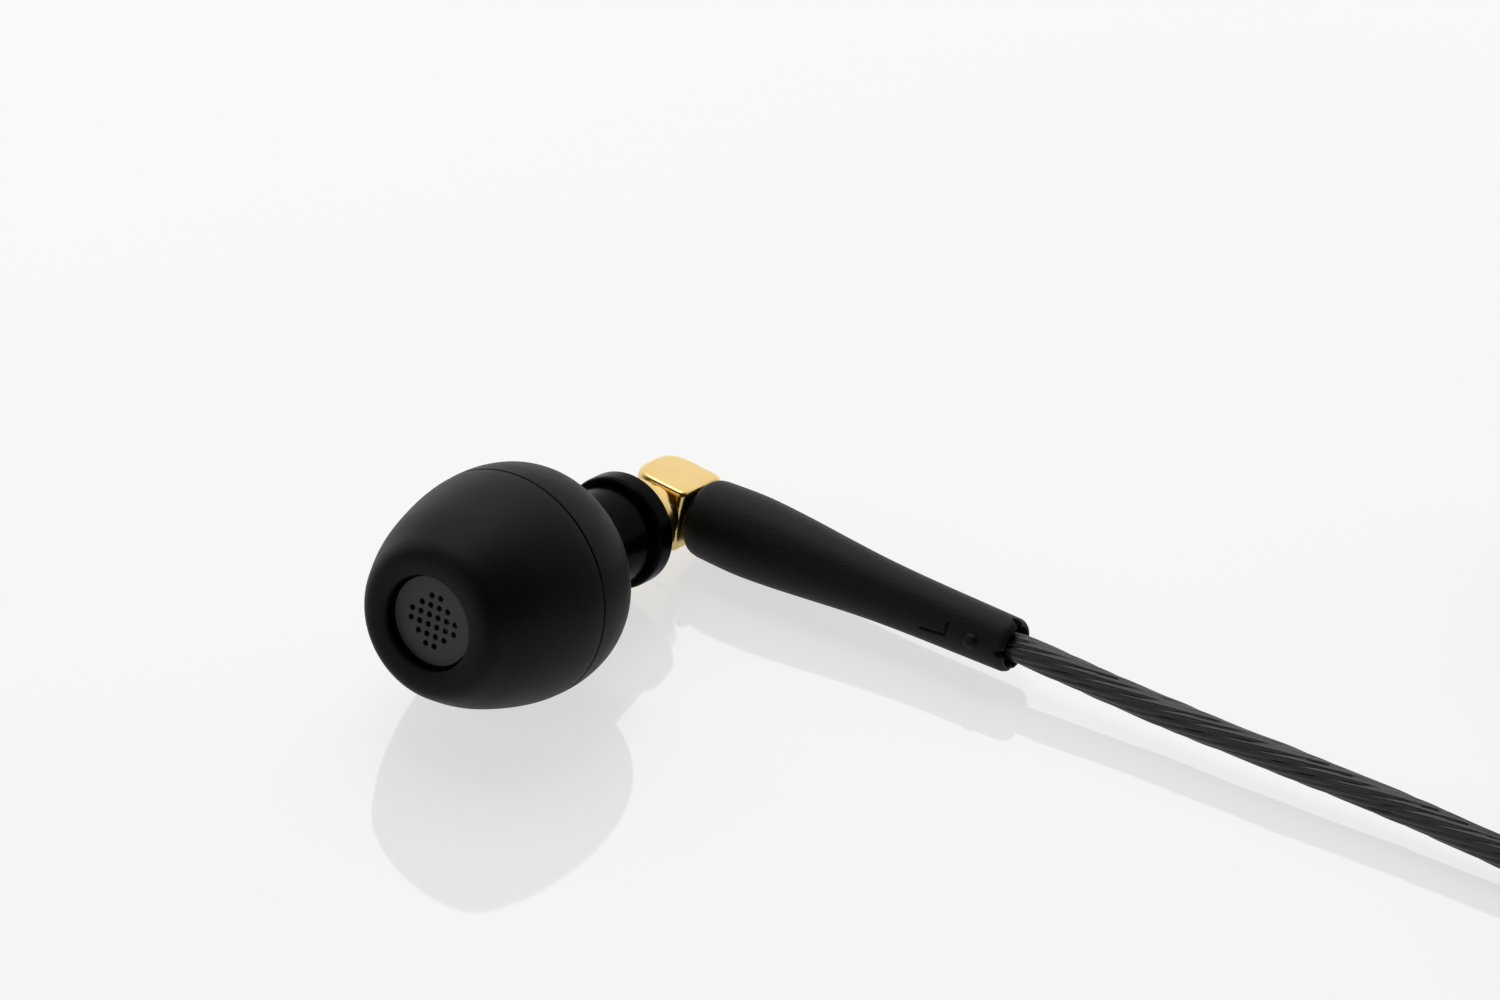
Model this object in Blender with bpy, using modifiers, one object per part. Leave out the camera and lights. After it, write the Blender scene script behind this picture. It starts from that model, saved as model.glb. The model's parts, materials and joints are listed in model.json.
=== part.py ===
"""A pair of in-ear monitors with detachable coaxial connectors, a 3.5 mm plug and coiled cords.

Each earpiece is built in its own frame: the origin is the centre of the elbow block, +Z runs forward
along the barrel to the ear tip, and +X runs out along the strain relief to the cable.
"""

import math

import bmesh
import bpy
from mathutils import Matrix, Vector

MM = 0.001

# Running and seating clearances.
SEAT_GAP = 0.05 * MM
RUN_GAP = 0.06 * MM
TIP_GAP = 0.10 * MM
CORD_GAP = 0.3 * MM

# Elbow block, measured from its centre.
BLOCK_FRONT = 1.9 * MM
BLOCK_HALF_HEIGHT = 1.85 * MM
BLOCK_CABLE_SIDE = 1.6 * MM
BLOCK_FAR_SIDE = 2.05 * MM
BLOCK_END_ROUND = 1.4 * MM
BLOCK_EDGE_ROUND = 0.2 * MM
BLOCK_BORE_DEPTH = 1.9 * MM

# Connector on the cable side.
NECK_R = 1.65 * MM
NECK_LENGTH = 1.35 * MM
COLLAR_R = 2.42 * MM
COLLAR_LENGTH = 1.35 * MM
COLLAR_EDGE = 0.2 * MM
SPIGOT_LENGTH = 0.5 * MM
SPIGOT_WALL = 0.12 * MM
SLEEVE_R = 1.28 * MM
SLEEVE_WALL = 0.3 * MM
SLEEVE_LENGTH = 2.6 * MM
SLEEVE_GROOVE_DEPTH = 0.16 * MM
SLEEVE_GROOVE_WIDTH = 0.45 * MM
SLEEVE_GROOVE_AT = 1.5 * MM
SNAP_GAP = 0.03 * MM
SNAP_SLIT_R = 0.25 * MM
PIN_R = 0.22 * MM
PIN_LENGTH = 2.2 * MM
PIN_TAIL_LENGTH = 0.5 * MM
CONNECTOR_INSULATOR_LENGTH = 1.3 * MM
CONNECTOR_INSULATOR_PROUD = 0.2 * MM

# Barrel, rear ring and socket.
RING_R = 3.18 * MM
RING_LENGTH = 1.4 * MM
RING_EDGE = 0.45 * MM
RING_SPIGOT_LENGTH = 1.1 * MM
BARREL_R = 2.75 * MM
BARREL_WALL = 0.3 * MM
NOZZLE_R = 2.9 * MM
NOZZLE_WALL = 0.45 * MM
NOZZLE_RIM_WALL = 0.35 * MM
NOZZLE_STEP_LENGTH = 0.3 * MM
NOZZLE_LENGTH = 10.4 * MM
GRILLE_FACE = 22.34 * MM
RIM_HEIGHT = 0.12 * MM
LEDGE_WIDTH = 0.3 * MM
LEDGE_LENGTH = 0.9 * MM
LEDGE_RAMP = 0.3 * MM
SOCKET_WALL = 0.32 * MM
SOCKET_LENGTH = 3.6 * MM
SOCKET_INSULATOR_LENGTH = 0.6 * MM
CONTACT_WALL = 0.18 * MM
CONTACT_LENGTH = 2.6 * MM
CONTACT_PROUD = 0.3 * MM

# Sound parts.
GRILLE_THICKNESS = 0.25 * MM
GRILLE_HOLE_R = 0.15 * MM
GRILLE_PITCH = 0.56 * MM
GRILLE_REACH = 3
SCREEN_THICKNESS = 0.12 * MM
SCREEN_SETBACK = 0.9 * MM
SPACER_LENGTH = 0.8 * MM
SPACER_WALL = 0.4 * MM
DRIVER_LENGTH = 4.2 * MM
DRIVER_FRONT_R = 1.7 * MM
DRIVER_FRONT_LENGTH = 0.5 * MM
DRIVER_EDGE = 0.3 * MM
GASKET_LENGTH = 0.6 * MM
GASKET_WALL = 0.5 * MM

# Ear tip, with lengths measured back from the grille's face.
TIP_MAX_R = 6.44 * MM
TIP_SEAM_AT = 6.5 * MM
TIP_LIP_WIDTH = 1.25 * MM
TIP_LIP_CREST_IN = 0.5 * MM
TIP_LIP_HEIGHT = 0.68 * MM
TIP_REAR_TUCK = 1.14 * MM
TIP_REAR_AT = 10.4 * MM
TIP_SKIRT_WALL = 0.7 * MM
TIP_STEM_WALL = 0.6 * MM
TIP_STEM_AT = 9.6 * MM
TIP_ROOT_AT = 2.6 * MM
TIP_MOUTH_STEP = 0.11 * MM
TIP_MOUTH_DEPTH = 0.25 * MM
TIP_SQUASH = 0.32 * MM

# Strain relief, with stations along it as radii.
RELIEF_STANDOFF = 0.2 * MM
RELIEF_LENGTH = 20.64 * MM
RELIEF_FRONT_R = 2.2 * MM
RELIEF_BULGE_R = 2.3 * MM
RELIEF_END_R = 1.5 * MM
RELIEF_BULGE_AT = 3.95 * MM
RELIEF_WAIST_AT = 12.2 * MM
RELIEF_WAIST_R = 1.7 * MM
RELIEF_FRONT_EDGE = 0.7 * MM
RELIEF_EDGE = 0.35 * MM
RELIEF_RECESS_DEPTH = 0.8 * MM
RELIEF_RECESS_GAP = 0.25 * MM
FERRULE_R = 1.05 * MM
FERRULE_WALL = 0.2 * MM
FERRULE_LENGTH = 7.5 * MM
FERRULE_IN_BLOCK = 0.9 * MM

# Cords.
BRANCH_R = 0.8 * MM
MAIN_R = 1.0 * MM
COIL_LIFT = 0.5 * MM
BRANCH_COIL_OUTER_R = 9.6 * MM
BRANCH_COIL_COLUMNS = 2
BRANCH_COIL_LAYERS = 4
MAIN_COIL_OUTER_R = 13.0 * MM
MAIN_COIL_COLUMNS = 3
MAIN_COIL_LAYERS = 4
STRAP_THICKNESS = 0.35 * MM
STRAP_WIDTH = 5.0 * MM
STRAP_GAP = 0.08 * MM

# Splitter, where the two branches become the main cord.
SPLITTER_LENGTH = 10.5 * MM
SPLITTER_WIDTH = 5.0 * MM
SPLITTER_HEIGHT = 3.6 * MM
SPLITTER_EDGE = 0.9 * MM
SPLITTER_BRANCH_SPACING = 2.1 * MM
SPLITTER_SOCKET_DEPTH = 1.2 * MM

# Audio plug, 3.5 mm three-pole.
JACK_R = 1.75 * MM
JACK_NECK_R = 1.2 * MM
JACK_CORE_R = 0.55 * MM
JACK_SLEEVE_LENGTH = 6.0 * MM
JACK_RING_LENGTH = 2.0 * MM
JACK_TIP_LENGTH = 4.0 * MM
JACK_INSULATOR_LENGTH = 0.7 * MM
JACK_SHANK_LENGTH = 2.5 * MM
JACK_POINT_R = 0.5 * MM
JACK_POINT_ROUND = 0.1 * MM
JACK_NOSE_LENGTH = 1.3 * MM
JACK_CROWN_AT = 1.7 * MM
JACK_GROOVE_AT = 2.7 * MM
JACK_GROOVE_DEPTH = 0.49 * MM
JACK_CROWN_STEP = 0.12 * MM
JACK_BASE_STEP = 0.035 * MM
JACK_BASE_LENGTH = 0.4 * MM
GRIP_R = 2.9 * MM
GRIP_LENGTH = 9.0 * MM
GRIP_EDGE = 0.5 * MM
TAIL_LENGTH = 3.5 * MM
TAIL_FRONT_R = 2.0 * MM
TAIL_END_WALL = 0.35 * MM
TAIL_EDGE = 0.3 * MM
TAIL_EDGE_LENGTH = 0.4 * MM

# Where the pieces lie. The model's origin is under the middle of the two earpieces.
ORIGIN = Vector((43.45, -9.77, 0.0)) * MM
REST_GAP = 0.03 * MM
BOOT_DROOP = math.radians(0.5)
ELBOW_HEIGHT = 2.5 * MM
LEFT_ELBOW = Vector((-4.14, -3.79, 0.0)) * MM
LEFT_CABLE_HEADING = math.radians(-35.2)
RIGHT_ELBOW = Vector((104.9, -1.5, 0.0)) * MM
RIGHT_CABLE_HEADING = math.radians(-90.0)
LEFT_COIL_CENTRE = Vector((50.4, -30.9, 0.0)) * MM
RIGHT_COIL_CENTRE = Vector((96.1, -30.9, 0.0)) * MM
MAIN_COIL_CENTRE = Vector((54.9, -8.0, 0.0)) * MM
LEFT_STRAP_ANGLE = math.radians(20.0)
RIGHT_STRAP_ANGLE = math.radians(160.0)
MAIN_STRAP_ANGLE = math.radians(150.0)
SPLITTER_AT = Vector((66.9, -30.5, 2.2)) * MM
PLUG_TAIL_AT = Vector((74.5, -14.5, 2.95)) * MM

# Sides of the turned pieces. The running fits need 16, so that their flats clear at any angle.
ROUND_STEPS = 20
SMALL_STEPS = 16
PLAIN_STEPS = 12
ARC_STEPS = 2


def clear_scene():
    for old in list(bpy.data.objects):
        bpy.data.objects.remove(old, do_unlink=True)


def new_collection(name, helper=False):
    made = bpy.data.collections.new(name)
    made.hide_render = helper
    bpy.context.scene.collection.children.link(made)
    return made


def finish(name, colour, roughness, metallic=0.0):
    made = bpy.data.materials.new(name)
    made.use_nodes = True
    shader = made.node_tree.nodes["Principled BSDF"]
    shader.inputs["Base Color"].default_value = (*colour, 1.0)
    shader.inputs["Roughness"].default_value = roughness
    shader.inputs["Metallic"].default_value = metallic
    return made


def add_object(name, mesh, collection, parent=None, place=None):
    made = bpy.data.objects.new(name, mesh)
    collection.objects.link(made)
    made.parent = parent
    if place is not None:
        made.matrix_local = place
    return made


def smooth_curve(points, steps):
    """Catmull-Rom curve through points, each a Vector, with `steps` samples for each stretch."""
    samples = []
    last = len(points) - 1
    for index in range(last):
        before = points[max(index - 1, 0)]
        start, end = points[index], points[index + 1]
        after = points[min(index + 2, last)]
        for step in range(steps):
            t = step / steps
            samples.append(
                0.5 * (2 * start + (end - before) * t
                       + (2 * before - 5 * start + 4 * end - after) * t * t
                       + (3 * start - before - 3 * end + after) * t ** 3)
            )
    samples.append(points[-1].copy())
    return samples


def bezier(start, pull, push, end, steps):
    """Cubic Bezier between two (radius, height) points, without its end point."""
    samples = []
    for step in range(steps):
        t = step / steps
        u = 1 - t
        samples.append(tuple(
            u ** 3 * a + 3 * u * u * t * b + 3 * u * t * t * c + t ** 3 * d
            for a, b, c, d in zip(start, pull, push, end)
        ))
    return samples


def corner(centre, radius, from_deg, to_deg, steps=ARC_STEPS):
    """Arc of a profile about a (radius, height) centre, angles from +X towards +Z."""
    samples = []
    for step in range(steps + 1):
        angle = math.radians(from_deg + (to_deg - from_deg) * step / steps)
        samples.append((centre[0] + radius * math.cos(angle), centre[1] + radius * math.sin(angle)))
    return samples


def tube_profile(outer, inner, bottom, top):
    return [(outer, top), (outer, bottom), (inner, bottom), (inner, top)]


def disc_profile(radius, bottom, top):
    return [(0.0, top), (radius, top), (radius, bottom), (0.0, bottom)]


class Builder:
    """Makes named pieces in one collection, in the frame of one parent."""

    def __init__(self, collection, helpers, parent, prefix=""):
        self.collection = collection
        self.helpers = helpers
        self.parent = parent
        self.prefix = prefix

    def turned(self, name, profile, material, steps=ROUND_STEPS, place=None):
        """Turned piece: a profile of (radius, height) points that runs down its outer side."""
        profile = [
            point for index, point in enumerate(profile)
            if index == 0 or math.dist(point, profile[index - 1]) > 1e-8
        ]
        closed = min(point[0] for point in profile) > 0
        mesh = bpy.data.meshes.new(self.prefix + name)
        count = len(profile)
        edges = [(index, (index + 1) % count) for index in range(count if closed else count - 1)]
        mesh.from_pydata([(radius, 0.0, height) for radius, height in profile], edges, [])
        mesh.materials.append(material)
        made = add_object(self.prefix + name, mesh, self.collection, self.parent, place)
        screw = made.modifiers.new("Turn", "SCREW")
        screw.axis = "Z"
        screw.steps = steps
        screw.render_steps = steps
        screw.use_merge_vertices = True
        screw.merge_threshold = 1e-6
        screw.use_smooth_shade = True
        return made

    def cylinder_cutter(self, name, radius, bottom, top, steps, place):
        bm = bmesh.new()
        shift = Matrix.Translation((0.0, 0.0, (top + bottom) / 2))
        bmesh.ops.create_cone(
            bm, cap_ends=True, segments=steps, radius1=radius, radius2=radius,
            depth=top - bottom, matrix=shift,
        )
        mesh = bpy.data.meshes.new(self.prefix + name)
        bm.to_mesh(mesh)
        bm.free()
        made = add_object(self.prefix + name, mesh, self.helpers, self.parent, place)
        made.hide_render = True
        made.display_type = "WIRE"
        return made

    def box_cutter(self, name, size, place):
        bm = bmesh.new()
        bmesh.ops.create_cube(bm, size=1.0, matrix=Matrix.Diagonal((*size, 1.0)))
        mesh = bpy.data.meshes.new(self.prefix + name)
        bm.to_mesh(mesh)
        bm.free()
        made = add_object(self.prefix + name, mesh, self.helpers, self.parent, place)
        made.hide_render = True
        made.display_type = "WIRE"
        return made

    def cut(self, piece, cutter):
        step = piece.modifiers.new("Cut " + cutter.name, "BOOLEAN")
        step.operation = "DIFFERENCE"
        step.solver = "EXACT"
        step.object = cutter

    def box(self, name, size, material, place=None, round_edges=None):
        """Box about its own centre. round_edges is an edge radius and its number of segments."""
        bm = bmesh.new()
        bmesh.ops.create_cube(bm, size=1.0, matrix=Matrix.Diagonal((*size, 1.0)))
        mesh = bpy.data.meshes.new(self.prefix + name)
        bm.to_mesh(mesh)
        bm.free()
        mesh.materials.append(material)
        made = add_object(self.prefix + name, mesh, self.collection, self.parent, place)
        if round_edges:
            bevel = made.modifiers.new("Round edges", "BEVEL")
            bevel.width, bevel.segments = round_edges
            bevel.limit_method = "ANGLE"
        return made

    def cord(self, name, points, radius, material, steps=4):
        curve = bpy.data.curves.new(self.prefix + name, "CURVE")
        curve.dimensions = "3D"
        curve.bevel_depth = radius
        curve.bevel_resolution = 2
        curve.use_fill_caps = True
        samples = smooth_curve(points, steps)
        spline = curve.splines.new("POLY")
        spline.points.add(len(samples) - 1)
        for slot, sample in zip(spline.points, samples):
            slot.co = (*sample, 1.0)
        curve.materials.append(material)
        return add_object(self.prefix + name, curve, self.collection, self.parent)


def rest_tilt():
    """Slope of the barrel at which the ear tip's fullest stretch presses flat on the surface."""
    low, high = 0.0, math.radians(45)
    for _ in range(40):
        tilt = (low + high) / 2
        lowest = min(
            ELBOW_HEIGHT + height * math.sin(tilt) - radius * math.cos(tilt)
            for radius, height in tip_outline()
        )
        if lowest < REST_GAP - TIP_SQUASH:
            low = tilt
        else:
            high = tilt
    return high


def earpiece_matrix(elbow, heading):
    """Frame of an earpiece: +X out to the cable, +Z forward to its right and raised by the rest tilt."""
    tilt = rest_tilt()
    out = Vector((math.cos(heading) * math.cos(BOOT_DROOP), math.sin(heading) * math.cos(BOOT_DROOP),
                  -math.sin(BOOT_DROOP)))
    level = out.cross(Vector((0.0, 0.0, 1.0))).normalized()
    forward = level * math.cos(tilt) + Vector((0.0, 0.0, math.sin(tilt)))
    forward = (forward - out * forward.dot(out)).normalized()
    side = forward.cross(out)
    place = Matrix((out, side, forward)).transposed().to_4x4()
    place.translation = elbow + Vector((0.0, 0.0, ELBOW_HEIGHT)) - ORIGIN
    return place


# Heights along the earpiece, forward from the elbow's centre.
NECK_BASE = BLOCK_FRONT + SEAT_GAP
COLLAR_BASE = BLOCK_FRONT + NECK_LENGTH
COLLAR_TOP = COLLAR_BASE + COLLAR_LENGTH
RING_BASE = COLLAR_TOP + RUN_GAP
RING_TOP = RING_BASE + RING_LENGTH
BARREL_BASE = RING_TOP + SEAT_GAP
NOZZLE_BASE = GRILLE_FACE - NOZZLE_LENGTH
SOCKET_BORE_R = SLEEVE_R + RUN_GAP
SOCKET_R = SOCKET_BORE_R + SOCKET_WALL
CONTACT_BORE_R = PIN_R + RUN_GAP
CONTACT_R = CONTACT_BORE_R + CONTACT_WALL
SLEEVE_BORE_R = SLEEVE_R - SLEEVE_WALL
SPIGOT_R = SLEEVE_BORE_R + SPIGOT_WALL
SLEEVE_TOP = COLLAR_TOP + SLEEVE_LENGTH
PIN_TOP = COLLAR_TOP + PIN_LENGTH

# Sizes that follow the block, the nozzle and the cords.
RELIEF_START = BLOCK_CABLE_SIDE + RELIEF_STANDOFF
GRILLE_BORE_R = NOZZLE_R - NOZZLE_RIM_WALL
GRILLE_R = GRILLE_BORE_R - SEAT_GAP
TIP_BORE_R = NOZZLE_R + TIP_GAP
RELIEF_RECESS_R = BRANCH_R + RELIEF_RECESS_GAP


def tip_outline():
    """Outer side of the ear tip, from the lip's crest back to the skirt's edge."""
    crest = (TIP_BORE_R + TIP_LIP_CREST_IN, GRILLE_FACE + TIP_LIP_HEIGHT)
    shoulder = (TIP_BORE_R + TIP_LIP_WIDTH, GRILLE_FACE + TIP_LIP_HEIGHT * 0.45)
    seam = (TIP_MAX_R, GRILLE_FACE - TIP_SEAM_AT)
    rear = (TIP_MAX_R - TIP_REAR_TUCK, GRILLE_FACE - TIP_REAR_AT)
    lip = bezier(crest, (crest[0] + (shoulder[0] - crest[0]) * 0.6, crest[1]),
                 (shoulder[0] - (shoulder[0] - crest[0]) * 0.1, shoulder[1] + TIP_LIP_HEIGHT * 0.2),
                 shoulder, 2)
    dome = bezier(shoulder, (shoulder[0] + (seam[0] - shoulder[0]) * 0.42, shoulder[1] - TIP_SEAM_AT * 0.16),
                  (seam[0], seam[1] + TIP_SEAM_AT * 0.36), seam, 5)
    skirt = bezier(seam, (seam[0], seam[1] - (TIP_REAR_AT - TIP_SEAM_AT) * 0.42),
                   (rear[0] + (seam[0] - rear[0]) * 0.42, rear[1] + (TIP_REAR_AT - TIP_SEAM_AT) * 0.32),
                   rear, 4)
    return lip + dome + skirt + [rear]


def make_ear_tip(builder, silicone):
    """Silicone tip: a domed skirt, open at the back, moulded onto a stem that grips the nozzle."""
    outer = tip_outline()
    stem_r = TIP_BORE_R + TIP_STEM_WALL
    root = GRILLE_FACE - TIP_ROOT_AT
    rear = GRILLE_FACE - TIP_REAR_AT
    stem_end = GRILLE_FACE - TIP_STEM_AT
    inner_max = TIP_MAX_R - TIP_SKIRT_WALL
    inside = bezier((inner_max - TIP_REAR_TUCK, rear),
                    (inner_max, rear + (TIP_REAR_AT - TIP_SEAM_AT) * 0.6),
                    (inner_max, GRILLE_FACE - TIP_SEAM_AT * 0.75),
                    (stem_r + TIP_STEM_WALL * 0.5, root), 4)
    seat = GRILLE_FACE + RIM_HEIGHT + TIP_GAP
    mouth = GRILLE_BORE_R + TIP_MOUTH_STEP
    stem = [(stem_r, root - TIP_STEM_WALL), (stem_r, stem_end), (TIP_BORE_R, stem_end),
            (TIP_BORE_R, seat), (mouth, seat), (mouth, seat + TIP_MOUTH_DEPTH)]
    tip = builder.turned("ear_tip", outer + inside + stem, silicone)
    frame = builder.parent.matrix_basis
    reach = GRILLE_FACE * 3
    floor = builder.box_cutter(
        "tip_floor", (reach, reach, reach),
        frame.inverted() @ Matrix.Translation((frame.translation.x, frame.translation.y,
                                               REST_GAP - reach / 2)),
    )
    builder.cut(tip, floor)


def grille_holes():
    """Centres of the diamond of holes: a square lattice cut off where |x| + |y| passes the reach."""
    half_steps = [index + 0.5 for index in range(-GRILLE_REACH, GRILLE_REACH)]
    return [
        (x * GRILLE_PITCH, y * GRILLE_PITCH)
        for x in half_steps for y in half_steps if abs(x) + abs(y) <= GRILLE_REACH
    ]


def make_grille(builder, metal):
    """Flat grille disc with its diamond of round holes."""
    grille = builder.turned("nozzle_grille",
                            disc_profile(GRILLE_R, GRILLE_FACE - GRILLE_THICKNESS, GRILLE_FACE), metal)
    bm = bmesh.new()
    for x, y in grille_holes():
        bmesh.ops.create_cone(
            bm, cap_ends=True, segments=6, radius1=GRILLE_HOLE_R, radius2=GRILLE_HOLE_R,
            depth=GRILLE_THICKNESS * 4,
            matrix=Matrix.Translation((x, y, GRILLE_FACE - GRILLE_THICKNESS / 2)),
        )
    mesh = bpy.data.meshes.new(builder.prefix + "grille_drills")
    bm.to_mesh(mesh)
    bm.free()
    drills = add_object(mesh.name, mesh, builder.helpers, builder.parent)
    drills.hide_render = True
    drills.display_type = "WIRE"
    builder.cut(grille, drills)


def make_barrel(builder, looks):
    """Barrel with its nozzle, rear ring and the sound parts inside."""
    rim = GRILLE_FACE + RIM_HEIGHT
    seat = GRILLE_FACE - GRILLE_THICKNESS - SEAT_GAP
    bore = BARREL_R - BARREL_WALL
    chamber = NOZZLE_R - NOZZLE_WALL
    ledge = GRILLE_BORE_R - LEDGE_WIDTH
    ledge_base = seat - LEDGE_LENGTH
    step = NOZZLE_BASE - NOZZLE_STEP_LENGTH
    shell = [
        (NOZZLE_R, rim), (NOZZLE_R, NOZZLE_BASE), (BARREL_R, step), (BARREL_R, BARREL_BASE),
        (bore, BARREL_BASE), (bore, step), (chamber, NOZZLE_BASE), (chamber, ledge_base - LEDGE_RAMP),
        (ledge, ledge_base), (ledge, seat), (GRILLE_BORE_R, seat), (GRILLE_BORE_R, rim),
    ]
    builder.turned("barrel", shell, looks["gloss"])

    screen_top = ledge_base - SCREEN_SETBACK
    inner = chamber - SEAT_GAP
    builder.turned("damper_screen",
                   disc_profile(inner, screen_top - SCREEN_THICKNESS, screen_top), looks["mesh"])
    spacer_top = screen_top - SCREEN_THICKNESS - SEAT_GAP
    builder.turned("screen_spacer",
                   tube_profile(inner, inner - SPACER_WALL, spacer_top - SPACER_LENGTH, spacer_top),
                   looks["core"])
    gasket_top = spacer_top - SPACER_LENGTH - SEAT_GAP
    gasket_base = gasket_top - GASKET_LENGTH
    builder.turned("driver_gasket",
                   tube_profile(inner, inner - GASKET_WALL, gasket_base, gasket_top), looks["rubber"])
    driver_top = gasket_base - SEAT_GAP
    base = driver_top - DRIVER_LENGTH
    front = driver_top + DRIVER_FRONT_LENGTH
    driver_front = min(DRIVER_FRONT_R, inner - GASKET_WALL - SEAT_GAP)
    builder.turned("driver", [
        (0.0, front), (driver_front, front), (driver_front, driver_top), (inner, driver_top),
        (inner, base + DRIVER_EDGE), (inner - DRIVER_EDGE, base), (0.0, base),
    ], looks["steel"])


def make_rear_ring(builder, looks):
    """Flange ring that closes the barrel and holds the coaxial socket."""
    spigot = BARREL_R - BARREL_WALL - SEAT_GAP
    bore = SOCKET_R + SEAT_GAP
    top = RING_TOP + RING_SPIGOT_LENGTH
    rounded = corner((RING_R - RING_EDGE, RING_TOP - RING_EDGE), RING_EDGE, 90, 0)
    builder.turned("rear_ring", [
        (spigot, top), (spigot, RING_TOP), *rounded, (RING_R, RING_BASE + COLLAR_EDGE),
        (RING_R - COLLAR_EDGE, RING_BASE), (bore, RING_BASE), (bore, top),
    ], looks["gloss"])
    socket_top = RING_BASE + SOCKET_LENGTH
    builder.turned("socket_shell",
                   tube_profile(SOCKET_R, SOCKET_BORE_R, RING_BASE, socket_top),
                   looks["gold"], SMALL_STEPS)
    builder.turned("socket_insulator",
                   tube_profile(SOCKET_BORE_R - SEAT_GAP, CONTACT_R + SEAT_GAP,
                                socket_top - SOCKET_INSULATOR_LENGTH, socket_top),
                   looks["white"], SMALL_STEPS)
    contact_top = socket_top + CONTACT_PROUD
    builder.turned("socket_contact",
                   tube_profile(CONTACT_R, CONTACT_BORE_R, contact_top - CONTACT_LENGTH, contact_top),
                   looks["gold"], SMALL_STEPS)


def make_connector(builder, looks):
    """Gold coaxial plug on the cable side, with its snap ring, insulator and pin."""
    groove_r = SLEEVE_R - SLEEVE_GROOVE_DEPTH
    groove_top = COLLAR_TOP + SLEEVE_GROOVE_AT + SLEEVE_GROOVE_WIDTH
    groove_base = COLLAR_TOP + SLEEVE_GROOVE_AT
    spigot_base = NECK_BASE - SPIGOT_LENGTH
    builder.turned("connector_body", [
        (SLEEVE_R, SLEEVE_TOP), (SLEEVE_R, groove_top), (groove_r, groove_top), (groove_r, groove_base),
        (SLEEVE_R, groove_base), (SLEEVE_R, COLLAR_TOP), (COLLAR_R - COLLAR_EDGE, COLLAR_TOP),
        (COLLAR_R, COLLAR_TOP - COLLAR_EDGE), (COLLAR_R, COLLAR_BASE + COLLAR_EDGE),
        (COLLAR_R - COLLAR_EDGE, COLLAR_BASE), (NECK_R, COLLAR_BASE), (NECK_R, NECK_BASE),
        (SPIGOT_R, NECK_BASE), (SPIGOT_R, spigot_base), (SLEEVE_BORE_R, spigot_base),
        (SLEEVE_BORE_R, SLEEVE_TOP),
    ], looks["gold"], SMALL_STEPS)
    snap = builder.turned("connector_snap_ring",
                          tube_profile(SOCKET_BORE_R - SNAP_GAP, groove_r + SNAP_GAP,
                                       groove_base + SNAP_GAP, groove_top - SNAP_GAP),
                          looks["spring"], SMALL_STEPS)
    slit = builder.cylinder_cutter("snap_slit", SNAP_SLIT_R, 0.0, SLEEVE_R * 2, 8,
                                   Matrix.Translation((0, 0, (groove_base + groove_top) / 2))
                                   @ Matrix.Rotation(math.radians(90), 4, "Y"))
    builder.cut(snap, slit)
    insulator_top = COLLAR_TOP + CONNECTOR_INSULATOR_PROUD
    insulator_base = insulator_top - CONNECTOR_INSULATOR_LENGTH
    builder.turned("connector_insulator",
                   tube_profile(SLEEVE_BORE_R - SEAT_GAP, PIN_R + SEAT_GAP, insulator_base, insulator_top),
                   looks["white"], SMALL_STEPS)
    pin_base = insulator_base - PIN_TAIL_LENGTH
    builder.turned("connector_pin", [
        (0.0, PIN_TOP), (PIN_R * 0.5, PIN_TOP), (PIN_R, PIN_TOP - PIN_R), (PIN_R, pin_base), (0.0, pin_base),
    ], looks["gold"], SMALL_STEPS)


def make_elbow(builder, looks):
    """Gold elbow block: rounded at its far end, bored from the front and from the cable side."""
    length = BLOCK_FAR_SIDE + BLOCK_CABLE_SIDE
    middle = (BLOCK_CABLE_SIDE - BLOCK_FAR_SIDE) / 2
    bm = bmesh.new()
    bmesh.ops.create_cube(
        bm, size=1.0,
        matrix=Matrix.Translation((middle, 0, 0))
        @ Matrix.Diagonal((length, BLOCK_HALF_HEIGHT * 2, BLOCK_FRONT * 2, 1.0)),
    )
    far = [
        edge for edge in bm.edges
        if all(vert.co.x < middle for vert in edge.verts)
        and abs(edge.verts[0].co.y - edge.verts[1].co.y) > BLOCK_HALF_HEIGHT
    ]
    bmesh.ops.bevel(bm, geom=far, offset=BLOCK_END_ROUND, segments=5, profile=0.5, affect="EDGES")
    mesh = bpy.data.meshes.new(builder.prefix + "elbow_block")
    bm.to_mesh(mesh)
    bm.free()
    mesh.materials.append(looks["gold"])
    block = add_object(mesh.name, mesh, builder.collection, builder.parent)
    bevel = block.modifiers.new("Round edges", "BEVEL")
    bevel.width = BLOCK_EDGE_ROUND
    bevel.segments = 2
    bevel.limit_method = "ANGLE"
    bevel.angle_limit = math.radians(40)
    front = builder.cylinder_cutter("block_front_bore", SPIGOT_R + SEAT_GAP, BLOCK_FRONT - BLOCK_BORE_DEPTH,
                                    BLOCK_FRONT * 2, SMALL_STEPS, Matrix.Identity(4))
    turn = Matrix.Rotation(math.radians(90), 4, "Y")
    side = builder.cylinder_cutter("block_side_bore", FERRULE_R + SEAT_GAP,
                                   BLOCK_CABLE_SIDE - BLOCK_BORE_DEPTH, BLOCK_CABLE_SIDE * 2,
                                   SMALL_STEPS, turn)
    builder.cut(block, front)
    builder.cut(block, side)


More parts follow.
